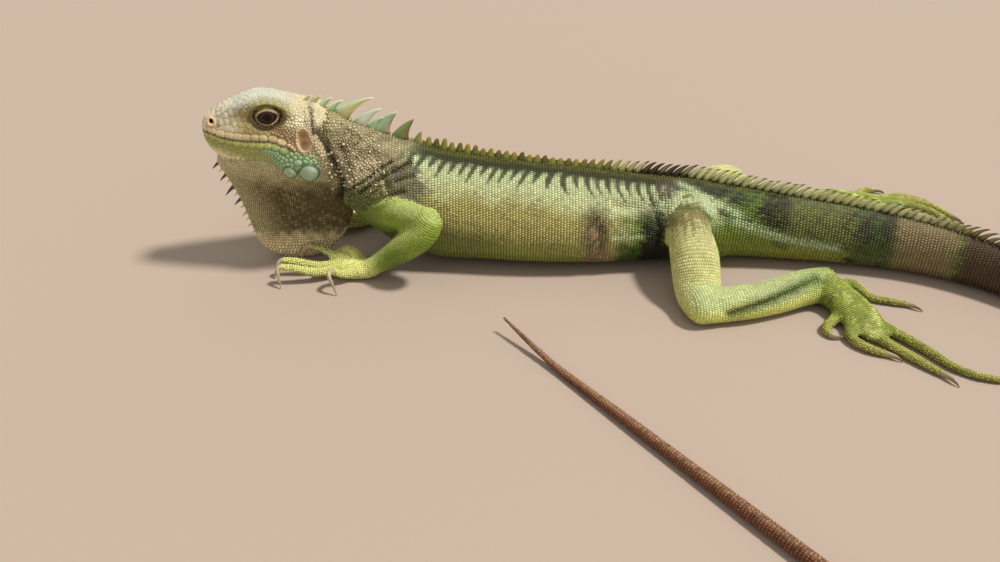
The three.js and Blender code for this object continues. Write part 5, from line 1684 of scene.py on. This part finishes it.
def build_crest(pitch, thick, c, material):
    """Nape blades, the comb of the back and tail, and the spines of the dewlap's edge."""
    spines = Solids()
    for number, (x, length, base, lean) in enumerate(NAPE_BLADES):
        root, ahead, side = ridge_at(x)
        rings = spine_rings(root, ahead, side, length, base, thick * 1.2, lean, 0.34)
        spines.loft(rings, crest_colours(number, x, *rings.shape[:2], c))
    distance = COMB_FROM
    while distance < COMB_TO:
        root, ahead, side = ridge_at(distance)
        _, length, lean = along(COMB, distance)[0]
        hip = step(distance, 16, 48)
        length *= (0.78 + 0.32 * hip) * (1 + rng.normal(0, 0.07))
        droop = 0.10 * step(distance, 40, 110)
        girth = 1 - 0.55 * step(distance, 130, 420)
        rings = spine_rings(root, unit(ahead - side * droop), side + UP * rng.normal(0, 0.04), length,
                            pitch * 1.12 * girth, thick * 1.3 * girth, lean + rng.normal(0, 2.0),
                            0.08 + 0.42 * hip, 0.5 + 0.2 * hip)
        spines.loft(rings, crest_colours(-1, distance, *rings.shape[:2], c))
        distance += pitch
    for z, length in GULAR_SPINES:
        rings = dewlap_spine_rings(z, length)
        root, end = (c["shoulder"], c["hip_dark"]) if length > 5.5 else (c["dewlap_pale"], c["crest_pale"])
        spines.loft(rings, root + (end - root) * np.linspace(0, 1, len(rings))[:, None])
    return spines.piece("crest", "flank_skin", material)


def claw_rings(tube, tip, levels=14, around=12):
    """One claw: it leaves the digit's end in line with it and hooks down to its point."""
    middle, ahead, *_ = tube.frame(np.array([tube.length]))
    start, ahead = middle[0] - ahead[0] * 1.2, ahead[0]
    reach = np.linalg.norm(tip - start)
    ends = [start, start + ahead * reach * 0.42, tip + (start - tip) * 0.25 + UP * reach * 0.2, tip]
    t = np.linspace(0, 1, levels)[:, None]
    line = ((1 - t) ** 3 * ends[0] + 3 * t * (1 - t) ** 2 * ends[1]
            + 3 * t * t * (1 - t) * ends[2] + t ** 3 * ends[3])
    run = unit(np.gradient(line, axis=0))
    side = unit(np.cross(UP, run))
    rise = np.cross(run, side)
    radius = CLAW_ROOT + (0.24 - CLAW_ROOT) * t ** 1.4
    turn = turns(around)
    rings = (line[:, None] + side[:, None] * (radius * 0.74 * np.cos(turn))[..., None]
             + rise[:, None] * (radius * np.sin(turn) * (1 - 0.16 * np.cos(turn) ** 2))[..., None])
    rings[..., 2] = np.maximum(rings[..., 2], 0.0)
    return rings


def build_claws(limb, c, material):
    """The five claws of one foot."""
    tubes, tips = LIMBS[limb]
    side, hind = limb.split("_")[0], limb.endswith("hind")
    foot = "foot" if hind else "hand"
    claws = Solids()
    for number, tip in enumerate(tips, 1):
        rings = claw_rings(tubes[f"digit_{number}"], tip)
        t = np.linspace(0, 1, len(rings))[:, None]
        root, end = (c["claw"], c["claw_dark"]) if hind else (c["claw_pale"], c["claw"])
        claws.loft(rings, root + (end - root) * step(t, 0.15, 0.95))
    nodes = [f"{side}_{foot}_claw_{number}" for number in range(1, 6)]
    return claws.piece(f"{side}_{foot}_claws", "claw", material, *nodes)


def build_eye(side, sign, c, material):
    """An eyeball with its iris and pupil, its pole where it looks."""
    levels, around = 72, 72
    turn = turns(around)
    polar = np.linspace(0.012, math.pi - 0.012, levels)
    gaze = unit(HEAD_SIDE * sign + HEAD_AHEAD * 0.08 + UP * 0.08)
    right = unit(np.cross(UP, gaze))
    rise = np.cross(gaze, right)
    ball = (gaze * np.cos(polar)[:, None, None] + right * (np.sin(polar)[:, None] * np.cos(turn))[..., None]
            + rise * (np.sin(polar)[:, None] * np.sin(turn))[..., None])
    stretch = HEAD_AHEAD * np.sum(ball * HEAD_AHEAD, -1, keepdims=True) * (BALL_SQUEEZE ** -0.5 - 1)
    bulge = 1 + 0.045 * bell(polar, 0, 0.42)[:, None, None]
    points = head_point(EYE["h"], sign * EYE["out"], EYE["z"]) + (ball + stretch) * EYE["ball"] * bulge
    front = np.cos(polar)[:, None] > 0
    radius = np.where(front, np.sin(polar)[:, None] * np.hypot(np.cos(turn), 0.86 * np.sin(turn)), 1.0)
    streak = 0.5 + 0.5 * np.sin(turn * 23 + 2 * np.sin(turn * 7))
    iris = c["iris"] + (c["iris_light"] - c["iris"]) * (0.35 * streak * bell(radius, 0.48, 0.15))[..., None]
    tone = blended(iris.reshape(-1, 3), c["iris_light"], bell(radius, 0.39, 0.04).ravel() * 0.8)
    tone = blended(tone, c["pupil"], fade(radius.ravel(), 0.30, 0.36))
    tone = blended(tone, c["eye_rim"], step(radius.ravel(), 0.58, 0.72))
    eyes = Solids()
    eyes.loft(points, tone.reshape(levels, around, 3))
    return eyes.piece(f"{side}_eyeball", "eye", material, f"{side}_eye")


def build_plates(side, sign, surface, c, material):
    """The great round plate behind the jaw and the smaller ones round it, set in the skin."""
    plates = Solids()
    around, levels = 48, 14
    turn = turns(around)
    for number, (h, z, long, high, thick) in enumerate(CHEEK_PLATES):
        def skin_out(at_h, at_z):
            start = head_point(at_h, sign * 40, at_z)
            hit = surface.ray_cast(Vector(start), Vector(-HEAD_SIDE * sign))[0]
            return abs((np.array(hit[:2]) - SNOUT) @ HEAD_SIDE[:2])
        spots = [(math.cos(a) * k, math.sin(a) * k) for k in (0.5, 1.0) for a in turn[::4]]
        sample = np.array([[1, u, v, u * u, v * v, u * v, skin_out(h + u * long, z + v * high)]
                           for u, v in spots])
        fit = np.linalg.lstsq(sample[:, :6], sample[:, 6], rcond=None)[0]
        inner = np.linspace(0.02, 0.9, levels - 4)
        radius = np.concatenate([inner, [0.97, 1.02, 1.05, 1.0]])[:, None]
        u, v = radius * np.cos(turn), radius * np.sin(turn) * (1 - 0.06 * np.cos(turn * 2))
        base = np.stack([np.ones_like(u), u, v, u * u, v * v, u * v], -1) @ fit
        level = np.concatenate([(1 - inner ** 2.6) ** 0.7, [0.34, 0.1, -0.35, -0.9]])[:, None]
        base = np.maximum(base, fit[0] - 0.9 * radius ** 2)
        out = base + thick * (0.22 + 0.9 * level)
        rings = head_point(h + u * long, sign * out, z + v * high)
        # A painted highlight towards the plate's upper rear.
        tone = blended(np.tile(c["plate"], (levels * around, 1)), c["plate_light"],
                       0.9 * bell(np.hypot(u - 0.35, v - 0.35), 0, 0.42).ravel())
        outward = np.broadcast_to(radius, u.shape).ravel()
        tone = blended(tone, c["plate_dark"], 0.95 * step(outward, 0.80, 0.95))
        veins = noise(rings.reshape(-1, 3), 5, 20 + number)
        tone = blended(tone, c["plate_dark"], 0.18 * step(veins, 0.2, 0.9))
        plates.loft(rings, tone.reshape(levels, around, 3))
    return plates.piece(f"{side}_cheek_shield", "cheek_plate", material, f"{side}_cheek_plate")


# ---------------------------------------------------------------- finishes


SURFACE_INPUTS = ("Mottling", "Grain size", "Roughness", "Roughness spread")
BUMP_DEPTH = 0.0002


def sum_node(tree, operation, *inputs):
    """The result of one sum on other nodes' results and plain numbers."""
    node = tree.nodes.new("ShaderNodeMath")
    node.operation = operation
    for socket, value in zip(node.inputs, inputs):
        if isinstance(value, bpy.types.NodeSocket):
            tree.links.new(value, socket)
        else:
            socket.default_value = value
    return node.outputs[0]


def detail_group():
    """Fine mottling, dust and pores that every finish of the animal shares."""
    group = bpy.data.node_groups.new("living_surface", "ShaderNodeTree")
    sockets = group.interface
    sockets.new_socket("Tone", in_out="INPUT", socket_type="NodeSocketColor")
    for name, value in zip(SURFACE_INPUTS, (0.2, 900.0, 0.5, 0.1)):
        sockets.new_socket(name, in_out="INPUT", socket_type="NodeSocketFloat").default_value = value
    sockets.new_socket("Tone", in_out="OUTPUT", socket_type="NodeSocketColor")
    sockets.new_socket("Roughness", in_out="OUTPUT", socket_type="NodeSocketFloat")
    sockets.new_socket("Height", in_out="OUTPUT", socket_type="NodeSocketFloat")
    nodes, links = group.nodes, group.links
    come, go = nodes.new("NodeGroupInput"), nodes.new("NodeGroupOutput")
    place = nodes.new("ShaderNodeTexCoord")
    grain = nodes.new("ShaderNodeTexNoise")
    grain.inputs["Detail"].default_value = 3.0
    links.new(place.outputs["Object"], grain.inputs["Vector"])
    links.new(come.outputs["Grain size"], grain.inputs["Scale"])
    spread = sum_node(group, "SUBTRACT", grain.outputs["Fac"], 0.5)
    amount = sum_node(group, "MULTIPLY_ADD", spread, come.outputs["Mottling"], 1.0)
    tone = nodes.new("ShaderNodeVectorMath")
    tone.operation = "SCALE"
    links.new(come.outputs["Tone"], tone.inputs[0])
    links.new(amount, tone.inputs["Scale"])
    links.new(tone.outputs[0], go.inputs["Tone"])
    rough = sum_node(group, "MULTIPLY_ADD", spread, come.outputs["Roughness spread"],
                     come.outputs["Roughness"])
    links.new(rough, go.inputs["Roughness"])
    links.new(grain.outputs["Fac"], go.inputs["Height"])
    return group


def finish(name, group, mottling, grain, rough, spread, bump, specular=0.4, coat=0.0, coat_rough=0.1):
    """A finish over the stored markings."""
    material = bpy.data.materials.new(name)
    material.use_nodes = True
    nodes, links = material.node_tree.nodes, material.node_tree.links
    shader = nodes["Principled BSDF"]
    marks = nodes.new("ShaderNodeVertexColor")
    marks.layer_name = "markings"
    surface = nodes.new("ShaderNodeGroup")
    surface.node_tree = group
    for key, value in zip(SURFACE_INPUTS, (mottling, grain, rough, spread)):
        surface.inputs[key].default_value = value
    links.new(marks.outputs["Color"], surface.inputs["Tone"])
    links.new(surface.outputs["Tone"], shader.inputs["Base Color"])
    links.new(surface.outputs["Roughness"], shader.inputs["Roughness"])
    height = nodes.new("ShaderNodeBump")
    height.inputs["Strength"].default_value = bump
    height.inputs["Distance"].default_value = BUMP_DEPTH
    links.new(surface.outputs["Height"], height.inputs["Height"])
    links.new(height.outputs["Normal"], shader.inputs["Normal"])
    shader.inputs["Specular IOR Level"].default_value = specular
    shader.inputs["Coat Weight"].default_value = coat
    shader.inputs["Coat Roughness"].default_value = coat_rough
    return material


def plain(name, colour, rough):
    material = bpy.data.materials.new(name)
    material.use_nodes = True
    shader = material.node_tree.nodes["Principled BSDF"]
    shader.inputs["Base Color"].default_value = (*colour, 1)
    shader.inputs["Roughness"].default_value = rough
    return material


def finishes():
    """All finishes of the animal, made once."""
    if "finishes" not in made:
        group = detail_group()
        made["finishes"] = {
            "skin": finish("bare_skin", group, 0.25, 700, 0.62, 0.2, 0.3, 0.3),
            "scale": finish("scale_horn", group, 0.30, 1100, 0.50, 0.2, 0.25, 0.38),
            "plate": finish("polished_plate", group, 0.12, 500, 0.26, 0.1, 0.06, 0.5, 0.4, 0.12),
            "crest": finish("crest_horn", group, 0.25, 800, 0.45, 0.15, 0.2, 0.4),
            "claw": finish("claw_horn", group, 0.25, 600, 0.36, 0.15, 0.15, 0.5),
            "eye": finish("eye", group, 0.10, 900, 0.14, 0.02, 0.0, 0.16, 0.14, 0.04),
        }
    return made["finishes"]


# ---------------------------------------------------------------- settings and operators


def number_property(name, text, value, low, high, **kind):
    return bpy.props.FloatProperty(name=name, description=text, default=value, min=low, max=high, **kind)


def length_property(name, text, value, low, high):
    return number_property(name, text, value * MM, low * MM, high * MM, unit="LENGTH", precision=5)


def colour_property(name, text, value):
    return bpy.props.FloatVectorProperty(
        name=name, description=text, default=tuple(value), min=0, max=1, size=3, subtype="COLOR")


class IguanaSkinSettings(bpy.types.PropertyGroup):
    voxel: length_property(
        "Skin grid", "Size of the grid that joins the fleshy parts into one skin", 1.3, 0.8, 4)
    coat_depth: length_property(
        "Coat depth", "How far the skin lies inside the animal's outline", 0.55, 0.2, 1.5)
    scale_size: number_property(
        "Scale size", "Size of the scales against the model's own", 1.0, 0.7, 2.5, subtype="FACTOR")
    scale_lift: number_property("Scale lift", "How far the scales stand up", 1.25, 0.4, 2.0, subtype="FACTOR")


class IguanaCrestSettings(bpy.types.PropertyGroup):
    pitch: length_property("Spine pitch", "Distance from one spine of the back to the next", 4.5, 3.5, 10)
    thickness: length_property("Spine thickness", "Thickness of a spine at its root", 2.1, 0.8, 4)


class IguanaStageSettings(bpy.types.PropertyGroup):
    floor: colour_property("Floor", "Colour of the floor", rgb("a89789"))
    sky: colour_property("Surrounding light", "Colour of the light from all round", rgb("e6e3dd"))
    sky_strength: number_property("Surrounding strength", "Strength of the light from all round", 0.72, 0, 5)
    lamp_strength: number_property("Lamp strength", "Strength of the soft lamp", 3.7, 0, 20)


IguanaColours = type("IguanaColours", (bpy.types.PropertyGroup,), {
    "__doc__": "The animal's colours.",
    "__annotations__": {
        name: colour_property(words.capitalize(), f"Colour of the part called {words}", value)
        for name, value in SKIN.items() for words in [name.replace("_", " ")]
    },
})


# The solids that the skin stands for.
FLESH = ["head", "lower_jaw", "neck", "dewlap", "chest", "trunk", "hip", *(f"tail_{i}" for i in range(1, 8))]
for part in ("upper_arm", "forearm", "hand", "thigh", "shank", "foot"):
    FLESH += [f"left_{part}", f"right_{part}"]


class IguanaSkin(bpy.types.Operator):
    """Grows the one skin and sows the places of its scales"""

    bl_idname = "iguana.skin"
    bl_label = "Grow skin"

    def execute(self, context):
        settings = context.scene.iguana_skin
        for name in SKIN:
            SKIN[name] = np.array(getattr(context.scene.iguana_colours, name))
        skin = build_skin(settings.voxel / MM, settings.coat_depth / MM)
        mesh = skin.data
        set_coordinates(mesh, press_folds(coordinates(mesh), vertex_normals(mesh)))
        set_coordinates(mesh, shape_head(coordinates(mesh)))
        set_coordinates(mesh, shape_limbs(coordinates(mesh), vertex_normals(mesh)))
        points, normals = coordinates(mesh), vertex_normals(mesh)
        mesh.calc_loop_triangles()
        triangles = rows_of(mesh.loop_triangles, "vertices", 3, np.int32)
        if not len(triangles):
            raise RuntimeError("the skin has no faces")
        surface = BVHTree.FromPolygons(points.tolist(), triangles.tolist(), all_triangles=True)
        rows = scale_rows(settings.scale_size)
        settled_rows(rows, surface)
        rows = joined_seeds(rows, lip_seeds(surface))
        seeds = joined_seeds(rows, scattered_scales(points, triangles, rows, settings.scale_size))
        normal = seed_frames(seeds, surface, triangles, normals)
        mean = seeds.size.mean(1)
        head = seeds.chart == CHART["head"]
        scatter = np.isin(seeds.style, (GRANULE, PLATE)) & head
        seeds.corners = np.where(scatter & (mean > 2.4), 12, np.where(scatter & (mean > 1.5), 8, 6))
        seeds.corners[(normal[:, 2] < -0.45) & ~head] = SIMPLE
        seeds.smooth = smoothness(seeds)
        spread = np.where(head, 0.05, 0.13)
        seeds.vary = np.clip(1 + rng.normal(0, 1, len(seeds.place)) * spread, 0.65, 1.4)
        tones = markings(seeds.place, normal, seeds.chart, seeds.spot)
        tint(skin, skin_tones(points, seeds, tones))
        finish_piece(skin, "flank_skin", finishes()["skin"], *FLESH)
        made.update(surface=surface, seeds=seeds, normal=normal, view=neighbour_view(seeds, normal))
        print("skin triangles", len(triangles), "scales", len(seeds.place))
        return {"FINISHED"}


# Where one piece of the coat ends and the next begins: x on the body, distance on the tail.
NECK_END, CHEST_END, TRUNK_END = -96, -20, 45
TAIL_BASE_END, TAIL_MIDDLE_END = 150, 400


def scale_pieces(seeds):
    """Each coat piece as its name, slot and chosen scales."""
    chart, x, s, z = seeds.chart, seeds.place[:, 0], seeds.spot[:, 0], seeds.place[:, 2]
    h, _, _ = head_place(seeds.place)
    body, tail, head = chart == CHART["body"], chart == CHART["tail"], chart == CHART["head"]
    jaw = head & (z < mouth_level(h))
    pieces = [
        ("head_scales", "head_skin", head & ~jaw), ("jaw_scales", "jaw_skin", jaw),
        ("neck_scales", "neck_skin", body & (x < NECK_END)),
        ("dewlap_scales", "dewlap_skin", chart == CHART["dewlap"]),
        ("chest_scales", "flank_skin", body & (x >= NECK_END) & (x < CHEST_END)),
        ("trunk_scales", "flank_skin", body & (x >= CHEST_END) & (x < TRUNK_END)),
        ("hip_scales", "flank_skin", body & (x >= TRUNK_END)),
        ("tail_base_scales", "tail_base_skin", tail & (s < TAIL_BASE_END)),
        ("tail_middle_scales", "tail_middle_skin", tail & (s >= TAIL_BASE_END) & (s < TAIL_MIDDLE_END)),
        ("tail_end_scales", "tail_end_skin", tail & (s >= TAIL_MIDDLE_END)),
    ]
    for limb, number in LIMB_CHART.items():
        leg = (chart >= number) & (chart < number + LEG_PARTS)
        foot = (chart >= number + LEG_PARTS) & (chart < number + len(LIMB_PARTS))
        pieces += [(f"{limb}_leg_scales", "leg_skin", leg), (f"{limb}_foot_scales", "foot_skin", foot)]
    return pieces


class IguanaScales(bpy.types.Operator):
    """Lays the solid scales over the skin"""

    bl_idname = "iguana.scales"
    bl_label = "Lay scales"

    def execute(self, context):
        if "seeds" not in made:
            raise RuntimeError("the skin is grown first")
        seeds, lift = made["seeds"], context.scene.iguana_skin.scale_lift
        total = 0
        for name, slot, chosen in scale_pieces(seeds):
            obj = build_scales(name, chosen, seeds, made["normal"], made["view"], lift, slot,
                               finishes()["scale"])
            total += len(obj.data.polygons)
            print(name, int(chosen.sum()), len(obj.data.polygons))
        print("coat triangles", total)
        return {"FINISHED"}


class IguanaCrest(bpy.types.Operator):
    """Sets the nape blades, the comb and the spines of the dewlap"""

    bl_idname = "iguana.crest"
    bl_label = "Set crest"

    def execute(self, context):
        settings = context.scene.iguana_crest
        build_crest(settings.pitch / MM, settings.thickness / MM, SKIN, finishes()["crest"])
        return {"FINISHED"}


class IguanaClaws(bpy.types.Operator):
    """Sets the claws of all four feet"""

    bl_idname = "iguana.claws"
    bl_label = "Set claws"

    def execute(self, context):
        for limb in LIMBS:
            build_claws(limb, SKIN, finishes()["claw"])
        return {"FINISHED"}


class IguanaEyes(bpy.types.Operator):
    """Sets both eyeballs between their lids"""

    bl_idname = "iguana.eyes"
    bl_label = "Set eyes"

    def execute(self, context):
        for side, sign in (("left", -1), ("right", 1)):
            build_eye(side, sign, SKIN, finishes()["eye"])
        return {"FINISHED"}


class IguanaPlates(bpy.types.Operator):
    """Sets the round plates of both cheeks"""

    bl_idname = "iguana.plates"
    bl_label = "Set cheek plates"

    def execute(self, context):
        if "surface" not in made:
            raise RuntimeError("the skin is grown first")
        for side, sign in (("left", -1), ("right", 1)):
            build_plates(side, sign, made["surface"], SKIN, finishes()["plate"])
        return {"FINISHED"}


FLOOR_SIZE = 12
CAMERA_PLACE, CAMERA_TILT, CAMERA_LENS = (-0.03107, -0.48024, 0.28742), math.radians(57), 32.4
LAMP_SIDE, LAMP_SPREAD, LAMP_COLOUR = (0.6, -0.02, 1), math.radians(8), (1.0, 0.965, 0.91)


class IguanaStage(bpy.types.Operator):
    """Sets the floor, the soft light and the camera"""

    bl_idname = "iguana.stage"
    bl_label = "Set stage"

    def execute(self, context):
        scene, settings = context.scene, context.scene.iguana_stage
        bpy.ops.mesh.primitive_plane_add(size=FLOOR_SIZE, location=(0, 0, 0))
        floor = context.object
        floor.name = "floor"
        floor.data.materials.append(plain("floor", settings.floor, 0.85))
        lamp = bpy.data.lights.new("soft_lamp", "SUN")
        lamp.energy, lamp.angle, lamp.color = settings.lamp_strength, LAMP_SPREAD, LAMP_COLOUR
        sun = bpy.data.objects.new("soft_lamp", lamp)
        sun.rotation_euler = Vector(LAMP_SIDE).to_track_quat("Z", "Y").to_euler()
        scene.collection.objects.link(sun)
        world = bpy.data.worlds.new("soft_surroundings")
        world.use_nodes = True
        background = world.node_tree.nodes["Background"]
        background.inputs["Color"].default_value = (*settings.sky, 1)
        background.inputs["Strength"].default_value = settings.sky_strength
        scene.world = world
        scene.view_settings.view_transform = "Standard"
        lens = bpy.data.cameras.new("camera")
        lens.lens, lens.sensor_width, lens.clip_start, lens.clip_end = CAMERA_LENS, 36, 0.01, 50
        camera = bpy.data.objects.new("camera", lens)
        camera.location, camera.rotation_euler = CAMERA_PLACE, Euler((CAMERA_TILT, 0, 0))
        scene.collection.objects.link(camera)
        scene.camera = camera
        return {"FINISHED"}


PIECES = (IguanaSkin, IguanaScales, IguanaCrest, IguanaClaws, IguanaEyes, IguanaPlates, IguanaStage)
SETTINGS = {
    "iguana_skin": IguanaSkinSettings, "iguana_crest": IguanaCrestSettings,
    "iguana_stage": IguanaStageSettings, "iguana_colours": IguanaColours,
}


class IguanaPanel(bpy.types.Panel):
    """Lists the animal's pieces and settings"""

    bl_idname = "VIEW3D_PT_iguana"
    bl_label = "Green iguana"
    bl_space_type = "VIEW_3D"
    bl_region_type = "UI"
    bl_category = "Iguana"

    def draw(self, context):
        for piece in PIECES:
            self.layout.operator(piece.bl_idname)
        for name, group in SETTINGS.items():
            box = self.layout.box()
            for field in group.__annotations__:
                box.prop(getattr(context.scene, name), field)


def register():
    for group in (*SETTINGS.values(), *PIECES, IguanaPanel):
        bpy.utils.register_class(group)
    for name, group in SETTINGS.items():
        setattr(bpy.types.Scene, name, bpy.props.PointerProperty(type=group))


def unregister():
    for name in SETTINGS:
        delattr(bpy.types.Scene, name)
    for group in reversed((*SETTINGS.values(), *PIECES, IguanaPanel)):
        bpy.utils.unregister_class(group)


def main():
    """Builds every piece in order and writes the sizes of the solids and of the dressed animal."""
    register()
    for piece in ("skin", "scales", "crest", "claws", "eyes", "plates", "stage"):
        getattr(bpy.ops.iguana, piece)()


if __name__ == "__main__":
    main()
